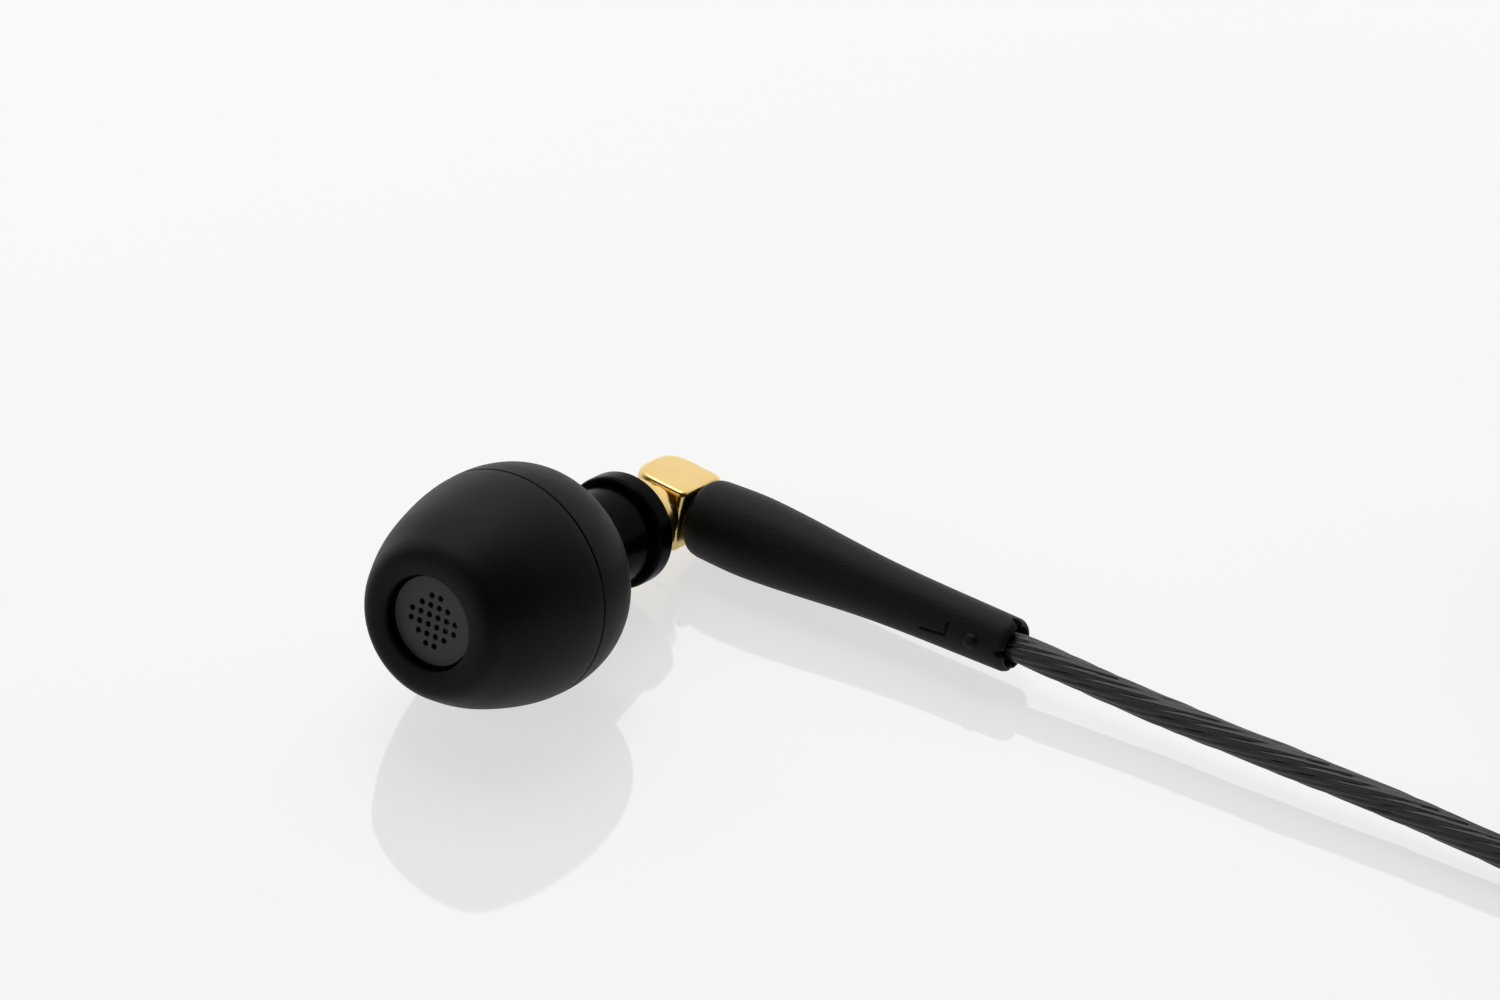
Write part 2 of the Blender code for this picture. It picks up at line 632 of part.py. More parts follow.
def relief_radius(along):
    """Radius of the strain relief: a slight bulge near the block, then a long fair taper."""
    stations = [(0.0, RELIEF_FRONT_R), (RELIEF_BULGE_AT, RELIEF_BULGE_R),
                (RELIEF_WAIST_AT, RELIEF_WAIST_R), (RELIEF_LENGTH, RELIEF_END_R)]
    last = len(stations) - 1
    for index in range(last):
        (start, start_r), (end, end_r) = stations[index], stations[index + 1]
        if along > end:
            continue
        before, before_r = stations[max(index - 1, 0)]
        after, after_r = stations[min(index + 2, last)]
        leave = (end_r - before_r) / (end - before) * (end - start)
        arrive = (after_r - start_r) / (after - start) * (end - start)
        t = (along - start) / (end - start)
        return ((2 * t - 3) * t * t + 1) * start_r + ((t - 2) * t + 1) * t * leave \
            + (3 - 2 * t) * t * t * end_r + (t - 1) * t * t * arrive
    return RELIEF_END_R


def make_strain_relief(builder, looks):
    """Rubber strain relief along the cable, over the crimp ferrule that holds the cord."""
    turn = Matrix.Rotation(math.radians(90), 4, "Y")
    end = RELIEF_START + RELIEF_LENGTH
    sides = [
        (relief_radius(RELIEF_LENGTH * share), end - RELIEF_LENGTH * (1 - share))
        for share in (0.85, 0.7, 0.55, 0.4, 0.25, 0.12)
    ]
    edge = min(RELIEF_EDGE, (RELIEF_END_R - RELIEF_RECESS_R) * 0.8)
    rear = corner((RELIEF_END_R - edge, end - edge), edge, 90, 0)
    front = corner((RELIEF_FRONT_R - RELIEF_FRONT_EDGE, RELIEF_START + RELIEF_FRONT_EDGE),
                   RELIEF_FRONT_EDGE, 0, -90)
    ferrule_bore = FERRULE_R + SEAT_GAP
    cord_bore = BRANCH_R + SEAT_GAP
    ferrule_end = BLOCK_CABLE_SIDE - FERRULE_IN_BLOCK + FERRULE_LENGTH + SEAT_GAP
    bore = [
        (ferrule_bore, RELIEF_START), (ferrule_bore, ferrule_end), (cord_bore, ferrule_end),
        (cord_bore, end - RELIEF_RECESS_DEPTH), (RELIEF_RECESS_R, end - RELIEF_RECESS_DEPTH),
        (RELIEF_RECESS_R, end),
    ]
    builder.turned("strain_relief", rear + sides + front + bore, looks["rubber"], ROUND_STEPS, turn)
    base = BLOCK_CABLE_SIDE - FERRULE_IN_BLOCK
    builder.turned("crimp_ferrule",
                   tube_profile(FERRULE_R, FERRULE_R - FERRULE_WALL, base, base + FERRULE_LENGTH),
                   looks["steel"], PLAIN_STEPS, turn)


def make_earpiece(side_name, collection, helpers, looks, elbow, heading):
    """One whole earpiece with its connector and strain relief, and its own frame."""
    frame = bpy.data.objects.new(side_name + "_earpiece_frame", None)
    collection.objects.link(frame)
    frame.matrix_world = earpiece_matrix(elbow, heading)
    builder = Builder(collection, helpers, frame, side_name + "_")
    make_ear_tip(builder, looks["silicone"])
    make_grille(builder, looks["grille"])
    make_barrel(builder, looks)
    make_rear_ring(builder, looks)
    make_connector(builder, looks)
    make_elbow(builder, looks)
    make_strain_relief(builder, looks)
    return frame


def relief_mouth(frame):
    """Point on the cord's axis just inside the strain relief's recess, and its outward direction."""
    out = frame.matrix_world.to_3x3() @ Vector((1.0, 0.0, 0.0))
    inside = RELIEF_START + RELIEF_LENGTH - RELIEF_RECESS_DEPTH + CORD_GAP
    return frame.matrix_world @ Vector((inside, 0.0, 0.0)), out


def make_coil(builder, name, centre, outer, cord_r, columns, layers, material):
    """Turned ring with the outer shape of a coil of `columns` by `layers` turns."""
    base = COIL_LIFT
    top = base + layers * 2 * cord_r
    edge = cord_r * 0.6
    inner = outer - columns * 2 * cord_r
    profile = (
        corner((outer - edge, top - edge), edge, 90, 0, 1)
        + corner((outer - edge, base + edge), edge, 0, -90, 1)
        + corner((inner + edge, base + edge), edge, -90, -180, 1)
        + corner((inner + edge, top - edge), edge, 180, 90, 1)
    )
    builder.turned(name + "_coil", profile, material, ROUND_STEPS, Matrix.Translation(centre - ORIGIN))


def make_strap(builder, name, centre, outer, cord_r, columns, layers, angle, material):
    """Hook-and-loop strap closed round one side of a coil: a flat loop that clears its curved sides."""
    inner = outer - columns * 2 * cord_r
    near = math.sqrt(inner ** 2 - (STRAP_WIDTH / 2) ** 2) - STRAP_GAP
    far = outer + STRAP_GAP
    low = COIL_LIFT - STRAP_GAP
    high = COIL_LIFT + layers * 2 * cord_r + STRAP_GAP
    width, height = far - near, high - low
    place = (
        Matrix.Translation(centre - ORIGIN + Vector((0, 0, (low + high) / 2)))
        @ Matrix.Rotation(angle, 4, "Z") @ Matrix.Translation(((near + far) / 2, 0, 0))
    )
    size = (width + 2 * STRAP_THICKNESS, STRAP_WIDTH, height + 2 * STRAP_THICKNESS)
    strap = builder.box(name + "_coil_strap", size, material, place, (STRAP_THICKNESS * 0.9, 2))
    window = builder.box_cutter(name + "_strap_window", (width, STRAP_WIDTH * 2, height), place)
    builder.cut(strap, window)


def make_splitter(builder, looks):
    """Moulded splitter along +Y: two branch sockets at its near end, the main cord's at the other."""
    half = SPLITTER_LENGTH / 2
    lay = Matrix.Rotation(math.radians(-90), 4, "X")
    place = Matrix.Translation(SPLITTER_AT - ORIGIN + Vector((0, half, 0))) @ lay
    body = builder.box("splitter", (SPLITTER_WIDTH, SPLITTER_HEIGHT, SPLITTER_LENGTH), looks["core"],
                       place, (SPLITTER_EDGE, 3))
    for name, offset in (("left", -SPLITTER_BRANCH_SPACING / 2), ("right", SPLITTER_BRANCH_SPACING / 2)):
        hole = builder.cylinder_cutter(f"splitter_{name}_socket", BRANCH_R + SEAT_GAP, -half * 2,
                                       -half + SPLITTER_SOCKET_DEPTH, SMALL_STEPS,
                                       place @ Matrix.Translation((offset, 0, 0)))
        builder.cut(body, hole)
    hole = builder.cylinder_cutter("splitter_main_socket", MAIN_R + SEAT_GAP,
                                   half - SPLITTER_SOCKET_DEPTH, half * 2, SMALL_STEPS, place)
    builder.cut(body, hole)


def make_audio_plug(builder, looks):
    """3.5 mm plug lying on its grip, tail first, with separate contacts and insulators."""
    place = Matrix.Translation(PLUG_TAIL_AT - ORIGIN) @ Matrix.Rotation(math.radians(90), 4, "Y")
    grip_base = TAIL_LENGTH
    grip_top = grip_base + GRIP_LENGTH
    cord_bore = MAIN_R + SEAT_GAP
    tail_end = cord_bore + TAIL_END_WALL
    tail = [
        (TAIL_FRONT_R, grip_base - SEAT_GAP), (tail_end, TAIL_EDGE_LENGTH), (tail_end - TAIL_EDGE, 0.0),
        (cord_bore, 0.0), (cord_bore, grip_base - SEAT_GAP),
    ]
    builder.turned("plug_tail", tail, looks["rubber"], PLAIN_STEPS, place)
    shank_hole = JACK_NECK_R + SEAT_GAP
    shank_base = grip_top - JACK_SHANK_LENGTH
    grip = (
        corner((GRIP_R - GRIP_EDGE, grip_top - GRIP_EDGE), GRIP_EDGE, 90, 0)
        + corner((GRIP_R - GRIP_EDGE, grip_base + GRIP_EDGE), GRIP_EDGE, 0, -90)
        + [(cord_bore, grip_base), (cord_bore, shank_base - SEAT_GAP),
           (shank_hole, shank_base - SEAT_GAP), (shank_hole, grip_top)]
    )
    builder.turned("plug_grip", grip, looks["core"], PLAIN_STEPS, place)
    bore = JACK_CORE_R + SEAT_GAP
    sleeve_base = grip_top + SEAT_GAP
    sleeve_top = sleeve_base + JACK_SLEEVE_LENGTH
    builder.turned("plug_sleeve", [
        (JACK_R, sleeve_top), (JACK_R, sleeve_base), (JACK_NECK_R, sleeve_base),
        (JACK_NECK_R, shank_base), (bore, shank_base), (bore, sleeve_top),
    ], looks["gold"], PLAIN_STEPS, place)
    height = sleeve_top + SEAT_GAP
    for name, length, look in (
        ("plug_rear_insulator", JACK_INSULATOR_LENGTH, "core"),
        ("plug_ring_contact", JACK_RING_LENGTH, "gold"),
        ("plug_front_insulator", JACK_INSULATOR_LENGTH, "core"),
    ):
        builder.turned(name, tube_profile(JACK_R, bore, height, height + length), looks[look],
                       PLAIN_STEPS, place)
        height += length + SEAT_GAP
    point = height + JACK_TIP_LENGTH
    base_r = JACK_R - JACK_BASE_STEP
    builder.turned("plug_tip_contact", [
        (0.0, point), (JACK_POINT_R, point - JACK_POINT_ROUND),
        (JACK_R - JACK_CROWN_STEP, point - JACK_NOSE_LENGTH), (JACK_R, point - JACK_CROWN_AT),
        (JACK_R - JACK_GROOVE_DEPTH, point - JACK_GROOVE_AT), (base_r, height + JACK_BASE_LENGTH),
        (base_r, height), (JACK_CORE_R, height), (JACK_CORE_R, shank_base), (0.0, shank_base),
    ], looks["gold"], PLAIN_STEPS, place)


def at(x, y, z):
    """Point of a cord's route, given in millimetres before the origin is moved."""
    return Vector((x, y, z)) * MM - ORIGIN


def make_cords(builder, looks, left_frame, right_frame):
    """Cords where they lie, the coils of their spare length and the straps that hold those."""
    left_exit, left_out = relief_mouth(left_frame)
    right_exit, right_out = relief_mouth(right_frame)
    builder.cord("left_branch_lead", [
        left_exit, left_exit + left_out * 2.4 * MM, at(21.24, -21.56, 1.98), at(27.27, -25.65, 1.92),
        at(33.1, -29.47, 1.79), at(38.76, -33.47, 1.6), at(40.2, -34.5, 1.52),
    ], BRANCH_R, looks["cord"])
    builder.cord("right_branch_lead", [
        right_exit, right_exit + right_out * 0.8 * MM, at(104.9, -24.8, 2.2),
    ], BRANCH_R, looks["cord"], 2)
    branch = (BRANCH_COIL_OUTER_R, BRANCH_R, BRANCH_COIL_COLUMNS, BRANCH_COIL_LAYERS)
    main = (MAIN_COIL_OUTER_R, MAIN_R, MAIN_COIL_COLUMNS, MAIN_COIL_LAYERS)
    for name, centre, coil, strap_angle in (
        ("left", LEFT_COIL_CENTRE, branch, LEFT_STRAP_ANGLE),
        ("right", RIGHT_COIL_CENTRE, branch, RIGHT_STRAP_ANGLE),
        ("main", MAIN_COIL_CENTRE, main, MAIN_STRAP_ANGLE),
    ):
        make_coil(builder, name, centre, *coil, looks["cord"])
        make_strap(builder, name, centre, *coil, strap_angle, looks["strap"])
    builder.cord("left_splitter_lead", [
        at(56.8, -39.7, 5.9), at(59.8, -39.2, 5.0), at(62.6, -37.4, 3.8), at(64.8, -34.6, 2.8),
        at(65.85, -31.9, 2.3), at(65.85, -29.6, 2.2),
    ], BRANCH_R, looks["cord"], 3)
    builder.cord("right_splitter_lead", [
        at(89.7, -39.7, 5.9), at(84.5, -39.7, 4.6), at(79.0, -39.5, 3.2), at(74.0, -38.4, 2.4),
        at(70.4, -36.3, 2.1), at(68.4, -33.6, 2.15), at(67.95, -31.2, 2.2), at(67.95, -29.6, 2.2),
    ], BRANCH_R, looks["cord"], 3)
    builder.cord("main_splitter_lead", [
        at(66.9, -20.9, 2.2), at(66.9, -19.0, 2.15), at(66.9, -17.4, 1.95), at(66.9, -15.9, 1.8),
    ], MAIN_R, looks["cord"], 2)
    builder.cord("main_plug_lead", [
        at(62.9, -20.0, 7.4), at(65.5, -20.1, 6.9), at(68.0, -19.5, 6.1), at(70.0, -17.9, 5.0),
        at(71.6, -16.0, 3.9), at(73.2, -14.8, 3.15), at(75.2, -14.5, 2.95), at(78.0, -14.5, 2.95),
    ], MAIN_R, looks["cord"], 3)


def make_finishes():
    return {
        "silicone": finish("ear_tip_silicone", (0.012, 0.012, 0.013), 0.62),
        "grille": finish("grille_metal", (0.035, 0.036, 0.038), 0.45, 0.6),
        "gloss": finish("barrel_black", (0.008, 0.008, 0.009), 0.28),
        "core": finish("moulded_black", (0.015, 0.015, 0.016), 0.45),
        "rubber": finish("relief_rubber", (0.02, 0.02, 0.021), 0.7),
        "cord": finish("cord_jacket", (0.012, 0.012, 0.013), 0.4),
        "gold": finish("polished_gold", (0.83, 0.62, 0.28), 0.15, 1.0),
        "steel": finish("driver_steel", (0.45, 0.45, 0.46), 0.35, 1.0),
        "spring": finish("snap_ring_bronze", (0.7, 0.5, 0.25), 0.3, 1.0),
        "white": finish("insulator_white", (0.75, 0.74, 0.7), 0.4),
        "mesh": finish("damper_mesh", (0.3, 0.3, 0.3), 0.6, 0.5),
        "strap": finish("strap_fabric", (0.02, 0.02, 0.022), 0.85),
    }


def main():
    clear_scene()
    collection = new_collection("in_ear_monitors")
    helpers = new_collection("cutters", helper=True)
    looks = make_finishes()
    left = make_earpiece("left", collection, helpers, looks, LEFT_ELBOW, LEFT_CABLE_HEADING)
    right = make_earpiece("right", collection, helpers, looks, RIGHT_ELBOW, RIGHT_CABLE_HEADING)
    bpy.context.view_layer.update()
    builder = Builder(collection, helpers, None)
    make_cords(builder, looks, left, right)
    make_splitter(builder, looks)
    make_audio_plug(builder, looks)


main()
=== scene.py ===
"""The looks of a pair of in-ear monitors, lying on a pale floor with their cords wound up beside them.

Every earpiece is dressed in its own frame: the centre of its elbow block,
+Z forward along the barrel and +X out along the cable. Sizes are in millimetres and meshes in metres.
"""

from __future__ import annotations

import json
import logging
import math
from dataclasses import dataclass, field
from enum import Enum
from typing import Callable, Sequence

import bmesh
import bpy
import numpy as np
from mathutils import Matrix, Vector


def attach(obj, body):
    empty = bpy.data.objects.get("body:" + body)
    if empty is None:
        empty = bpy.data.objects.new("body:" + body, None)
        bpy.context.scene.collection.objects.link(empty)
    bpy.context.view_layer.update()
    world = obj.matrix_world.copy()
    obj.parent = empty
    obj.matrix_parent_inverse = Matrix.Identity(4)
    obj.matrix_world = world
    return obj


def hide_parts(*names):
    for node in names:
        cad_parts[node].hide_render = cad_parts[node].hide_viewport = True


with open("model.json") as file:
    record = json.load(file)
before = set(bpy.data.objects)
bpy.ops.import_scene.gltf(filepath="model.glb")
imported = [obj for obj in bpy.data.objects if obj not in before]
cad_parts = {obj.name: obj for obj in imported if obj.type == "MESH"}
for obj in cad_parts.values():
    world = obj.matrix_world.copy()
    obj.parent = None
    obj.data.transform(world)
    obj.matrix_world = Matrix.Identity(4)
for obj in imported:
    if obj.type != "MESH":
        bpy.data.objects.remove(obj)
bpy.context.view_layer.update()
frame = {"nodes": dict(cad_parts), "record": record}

MM = 0.001
ORIGIN = np.array([43.45, -9.77, 0.0])
LOG = logging.getLogger("in_ear_monitors")
Array = np.ndarray
Bend = Callable[[Array, Array, Array], tuple[Array, Array, Array]]


class Side(Enum):
    """Which ear an earpiece is for."""

    LEFT = "left"
    RIGHT = "right"


class Look(Enum):
    """Named finishes, each with the record's material slot it belongs to."""

    SILICONE = "ear_tip_silicone"
    GRILLE = "grille_metal"
    BARREL = "barrel_black"
    MOULDED = "moulded_black"
    RUBBER = "relief_rubber"
    CORD = "cord_jacket"
    GOLD = "polished_gold"
    STEEL = "driver_steel"
    BRONZE = "snap_ring_bronze"
    RESIN = "insulator_white"
    SCREEN = "damper_mesh"
    STRAP = "strap_fabric"


# ---------------------------------------------------------------- shader maths


class Sock:
    """A shader value with operators, so that an expression on values adds its own Math nodes."""

    def __init__(self, bench: "Bench", socket: bpy.types.NodeSocket) -> None:
        """Wraps an output socket of one bench's tree."""
        self.bench = bench
        self.socket = socket

    def math(self, operation: str, *others: "Sock | float", clamp: bool = False) -> "Sock":
        """Adds one Math node.

        Args:
            operation: the Math node's operation.
            others: its other inputs, values or numbers.
            clamp: whether the result stays between 0 and 1.

        Returns:
            The result.
        """
        values = {index: value for index, value in enumerate((self, *others))}
        return self.bench.node("ShaderNodeMath", values, operation=operation, use_clamp=clamp)

    def __add__(self, other: "Sock | float") -> "Sock":
        """Sum."""
        return self.math("ADD", other)

    __radd__ = __add__

    def __sub__(self, other: "Sock | float") -> "Sock":
        """Difference."""
        return self.math("SUBTRACT", other)

    def __rsub__(self, other: "Sock | float") -> "Sock":
        """Difference from a number."""
        return (self * -1.0) + other

    def __mul__(self, other: "Sock | float") -> "Sock":
        """Product."""
        return self.math("MULTIPLY", other)

    __rmul__ = __mul__

    def clamped(self) -> "Sock":
        """The value held between 0 and 1."""
        return self.math("ADD", 0.0, clamp=True)


class Bench:
    """One material's node tree, with a Principled shader ready on it."""

    def __init__(self, name: str) -> None:
        """Starts an empty material of that name."""
        self.material = bpy.data.materials.new(name)
        self.material.use_nodes = True
        self.tree = self.material.node_tree
        self.shader = self.tree.nodes["Principled BSDF"]

    def node(self, kind: str, inputs: dict | None = None, output: int | str = 0, **settings: object) -> Sock:
        """Adds any node.

        Args:
            kind: the node's type name.
            inputs: its sockets' values or links, by name or number.
            output: the output socket that is wanted.
            settings: the node's own properties; `stops` fills a colour ramp.

        Returns:
            The wanted output.
        """
        made = self.tree.nodes.new(kind)
        stops = settings.pop("stops", None)
        for name, value in settings.items():
            setattr(made, name, value)
        if stops:
            ramp = made.color_ramp
            while len(ramp.elements) < len(stops):
                ramp.elements.new(0.5)
            for element, (place, colour) in zip(ramp.elements, stops):
                element.position = place
                element.color = (*colour, 1.0)
        for name, value in (inputs or {}).items():
            self.feed(made.inputs[name], value)
        return Sock(self, made.outputs[output])

    def feed(self, target: bpy.types.NodeSocket, value: "Sock | float | Sequence[float]") -> None:
        """Links a value to a socket, or sets a plain number or colour on it."""
        if isinstance(value, Sock):
            self.tree.links.new(value.socket, target)
        else:
            target.default_value = value

    def set(self, **values: object) -> None:
        """Feeds the Principled shader's sockets, named with underscores for spaces."""
        for name, value in values.items():
            self.feed(self.shader.inputs[name.replace("_", " ")], value)

    def place(self) -> Sock:
        """Object coordinates."""
        return self.node("ShaderNodeTexCoord", output="Object")

    def noise(self, scale: float, detail: float = 4.0, roughness: float = 0.55) -> Sock:
        """Fractal noise over object coordinates, with its scale in cells per metre."""
        return self.node("ShaderNodeTexNoise", {"Vector": self.place(), "Scale": scale, "Detail": detail,
                                                "Roughness": roughness})

    def mix(self, factor: "Sock | float", low: Sequence[float], high: Sequence[float]) -> Sock:
        """Blend of two colours."""
        return self.node("ShaderNodeMix", {0: factor, 6: (*low, 1.0), 7: (*high, 1.0)}, 2, data_type="RGBA")

    def bump(self, height: Sock, depth: float, strength: float = 1.0) -> Sock:
        """Normal from a height whose full range stands `depth` metres high."""
        return self.node("ShaderNodeBump", {"Height": height, "Distance": depth, "Strength": strength})


@dataclass(frozen=True)
class Finish:
    """A plain moulded, rubbery or metal finish: base colour, gloss, and the grain that breaks both up."""

    look: Look
    colour: tuple[float, float, float]
    rough: float
    specular: float = 0.5
    metallic: float = 0.0
    grain: float = 9000.0
    grain_depth: float = 0.004
    speckle: float = 0.35
    rough_spread: float = 0.12

    def make(self) -> bpy.types.Material:
        """Builds the material: mottled base colour, roughness that drifts, and a fine grain as bump."""
        bench = Bench(self.look.value)
        drift = bench.noise(self.grain * 0.04, 3.0)
        fine = bench.noise(self.grain, 5.0, 0.7)
        low = tuple(c * (1.0 - self.speckle) for c in self.colour)
        high = tuple(c * (1.0 + self.speckle) for c in self.colour)
        shade = ((fine - 0.5) * 1.6 + (drift - 0.5) * 0.8 + 0.5).clamped()
        bench.set(
            Base_Color=bench.mix(shade, low, high),
            Roughness=((drift - 0.5) * self.rough_spread + (fine - 0.5) * self.rough_spread
                       + self.rough).clamped(),
            Metallic=self.metallic, Specular_IOR_Level=self.specular,
            Normal=bench.bump(fine, self.grain_depth * MM),
        )
        return bench.material


@dataclass(frozen=True)
class GoldFinish:
    """Polished gold plating: faint polishing drift that warms some patches slightly, and a few hairlines."""

    look: Look = Look.GOLD
    colour: tuple[float, float, float] = (0.72, 0.525, 0.215)
    warm: tuple[float, float, float] = (0.64, 0.44, 0.155)
    rough: float = 0.2

    def make(self) -> bpy.types.Material:
        """Builds the material."""
        bench = Bench(self.look.value)
        drift = bench.noise(420.0, 3.0)
        fine = bench.noise(14000.0, 4.0)
        stretch = bench.node("ShaderNodeMapping", {"Vector": bench.place(),
                                                   "Scale": (2600.0, 2600.0, 26000.0)})
        lines = bench.node("ShaderNodeTexNoise", {"Vector": stretch, "Scale": 1.0, "Detail": 3.0})
        bench.set(
            Base_Color=bench.mix(((drift - 0.5) * 1.4 + 0.4).clamped(), self.colour, self.warm),
            Metallic=1.0,
            Roughness=((drift - 0.5) * 0.10 + (lines - 0.5) * 0.10 + self.rough).clamped(),
            Normal=bench.bump(fine * 0.5 + lines * 0.5, 0.0012 * MM),
        )
        return bench.material


@dataclass(frozen=True)
class WovenFinish:
    """Hook-and-loop strap or woven screen: a fine crossed weave with a soft fuzz."""

    look: Look
    colour: tuple[float, float, float]
    threads: float
    metallic: float = 0.0
    rough: float = 0.85

    def make(self) -> bpy.types.Material:
        """Builds the material: two crossed wave patterns shade and raise the threads."""
        bench = Bench(self.look.value)
        split = bench.node("ShaderNodeSeparateXYZ", {"Vector": bench.place()}, "X")
        parts = split.socket.node.outputs
        axes = [Sock(bench, parts[name]) for name in ("X", "Y", "Z")]
        across = ((axes[0] + axes[1]) * self.threads).math("SINE")
        along = ((axes[2] * 1.4 + axes[0] * 0.3 - axes[1] * 0.3) * self.threads).math("SINE")
        weave = (across * along * 0.5 + 0.5).clamped()
        fuzz = bench.noise(16000.0, 4.0)
        low = tuple(c * 0.45 for c in self.colour)
        high = tuple(c * 1.6 for c in self.colour)
        bench.set(Base_Color=bench.mix((weave * 0.7 + fuzz * 0.3).clamped(), low, high),
                  Metallic=self.metallic, Roughness=self.rough, Sheen_Weight=0.3,
                  Normal=bench.bump(weave * 0.8 + fuzz * 0.2, 0.02 * MM))
        return bench.material


def make_finishes() -> dict[Look, bpy.types.Material]:
    """Every finish of the set, by its look."""
    plain = [
        Finish(Look.SILICONE, (0.0026, 0.0027, 0.0031), 0.52, 0.12, grain=7000.0, grain_depth=0.006),
        Finish(Look.GRILLE, (0.036, 0.037, 0.039), 0.5, 0.4, 0.35, grain=12000.0, grain_depth=0.003),
        Finish(Look.BARREL, (0.0008, 0.0008, 0.0009), 0.24, 0.02, grain=6000.0, grain_depth=0.0006,
               rough_spread=0.04),
        Finish(Look.MOULDED, (0.012, 0.012, 0.013), 0.42, 0.45),
        Finish(Look.RUBBER, (0.0040, 0.0042, 0.0047), 0.54, 0.14, grain=5200.0, grain_depth=0.03,
               speckle=0.5),
        Finish(Look.CORD, (0.0045, 0.0046, 0.0054), 0.4, 0.45),
        Finish(Look.STEEL, (0.46, 0.46, 0.47), 0.34, metallic=1.0, grain_depth=0.002, speckle=0.1),
        Finish(Look.BRONZE, (0.62, 0.44, 0.21), 0.3, metallic=1.0, grain_depth=0.002, speckle=0.12),
        Finish(Look.RESIN, (0.72, 0.71, 0.66), 0.4, grain_depth=0.003, speckle=0.06),
    ]
    made = {finish.look: finish.make() for finish in plain}
    made[Look.GOLD] = GoldFinish().make()
    made[Look.STRAP] = WovenFinish(Look.STRAP, (0.016, 0.016, 0.018), 18000.0).make()
    made[Look.SCREEN] = WovenFinish(Look.SCREEN, (0.3, 0.3, 0.31), 60000.0, 0.7, 0.45).make()
    return made


# ---------------------------------------------------------------- shapes


def filleted(corners: Sequence[tuple[float, float, float]], closed: bool, steps: int = 7) -> Array:
    """Polyline through corners, each rounded by its own fillet.

    A corner (r, h, fillet) becomes a quadratic arc that starts and ends `fillet` away from it.

    Args:
        corners: radius, height and fillet, in millimetres.
        closed: whether the last corner joins the first.
        steps: points in each rounded corner.

    Returns:
        An N by 2 array of radius and height.
    """
    points = np.array([c[:2] for c in corners], float)
    count = len(points)
    out: list[Array] = []
    for index, (_, _, fillet) in enumerate(corners):
        here = points[index]
        ends = not closed and index in (0, count - 1)
        if fillet <= 0 or ends:
            out.append(here[None])
            continue
        before = points[index - 1] - here
        after = points[(index + 1) % count] - here
        start = here + before * min(0.49, fillet / np.linalg.norm(before))
        stop = here + after * min(0.49, fillet / np.linalg.norm(after))
        t = np.linspace(0.0, 1.0, steps)[:, None]
        out.append((1 - t) ** 2 * start + 2 * t * (1 - t) * here + t * t * stop)
    return np.vstack(out)


def dense(profile: Array, closed: bool, step: float) -> Array:
    """Adds points to a polyline, so that no stretch is longer than a step.

    Args:
        profile: its points.
        closed: whether the last point joins the first.
        step: the longest stretch.

    Returns:
        The denser polyline.
    """
    ring = np.vstack([profile, profile[:1]]) if closed else profile
    out: list[Array] = []
    for start, stop in zip(ring[:-1], ring[1:]):
        pieces = max(1, int(math.ceil(np.linalg.norm(stop - start) / step)))
        out.append(start + (stop - start) * (np.arange(pieces) / pieces)[:, None])
    if not closed:
        out.append(ring[-1:])
    return np.vstack(out)


def smooth_line(points: Array, step: float) -> Array:
    """Catmull-Rom curve through points.

    Args:
        points: the points, in millimetres.
        step: about how far apart its samples are.

    Returns:
        The samples, with both ends.
    """
    out: list[Array] = []
    last = len(points) - 1
    for index in range(last):
        before, start = points[max(index - 1, 0)], points[index]
        end, after = points[index + 1], points[min(index + 2, last)]
        count = max(2, int(np.linalg.norm(end - start) / step))
        t = (np.arange(count) / count)[:, None]
        out.append(0.5 * (2 * start + (end - before) * t
                          + (2 * before - 5 * start + 4 * end - after) * t ** 2
                          + (3 * start - before - 3 * end + after) * t ** 3))
    out.append(points[-1:])
    return np.vstack(out)


def grid_faces(rows: int, columns: int, wrap_rows: bool = False) -> Array:
    """Quads of a grid whose columns always wrap round.

    Args:
        rows: how many rows of points there are.
        columns: how many points a row has.
        wrap_rows: whether the last row joins the first, as on a closed profile.

    Returns:
        Four point numbers for each quad.
    """
    i = np.arange(rows if wrap_rows else rows - 1)[:, None]
    j = np.arange(columns)[None, :]
    a = i * columns + j
    b = ((i + 1) % rows) * columns + j
    turn = (j + 1) % columns
    c = ((i + 1) % rows) * columns + turn
    d = i * columns + turn
    return np.stack([a, b, c, d], -1).reshape(-1, 4)


@dataclass(frozen=True)
class Pose:
    """Where a piece is made: an origin and three axes, as rows."""

    origin: Array
    axes: Array

    def apply(self, points: Array) -> Array:
        """Points of the piece's own frame, in millimetres, as points of the row frame in metres."""
        return (self.origin + points.reshape(-1, 3) @ self.axes) * MM


def add_mesh(name: str, points: Array, faces: Array | list, look: Look,
             sharp: float = 35.0) -> bpy.types.Object:
    """Makes a smooth-shaded piece at the origin.

    Args:
        name: the piece's name.
        points: its vertices in metres.
        faces: its faces.
        look: its finish.
        sharp: edges steeper than this many degrees stay sharp.

    Returns:
        The new object.
    """
    mesh = bpy.data.meshes.new(name)
    mesh.from_pydata(points.tolist(), [], faces.tolist() if isinstance(faces, np.ndarray) else faces)
    mesh.validate()
    mesh.shade_smooth()
    mesh.set_sharp_from_angle(angle=math.radians(sharp))
    made = bpy.data.objects.new(name, mesh)
    bpy.context.scene.collection.objects.link(made)
    mesh.materials.append(Workshop.finishes[look])
    return made


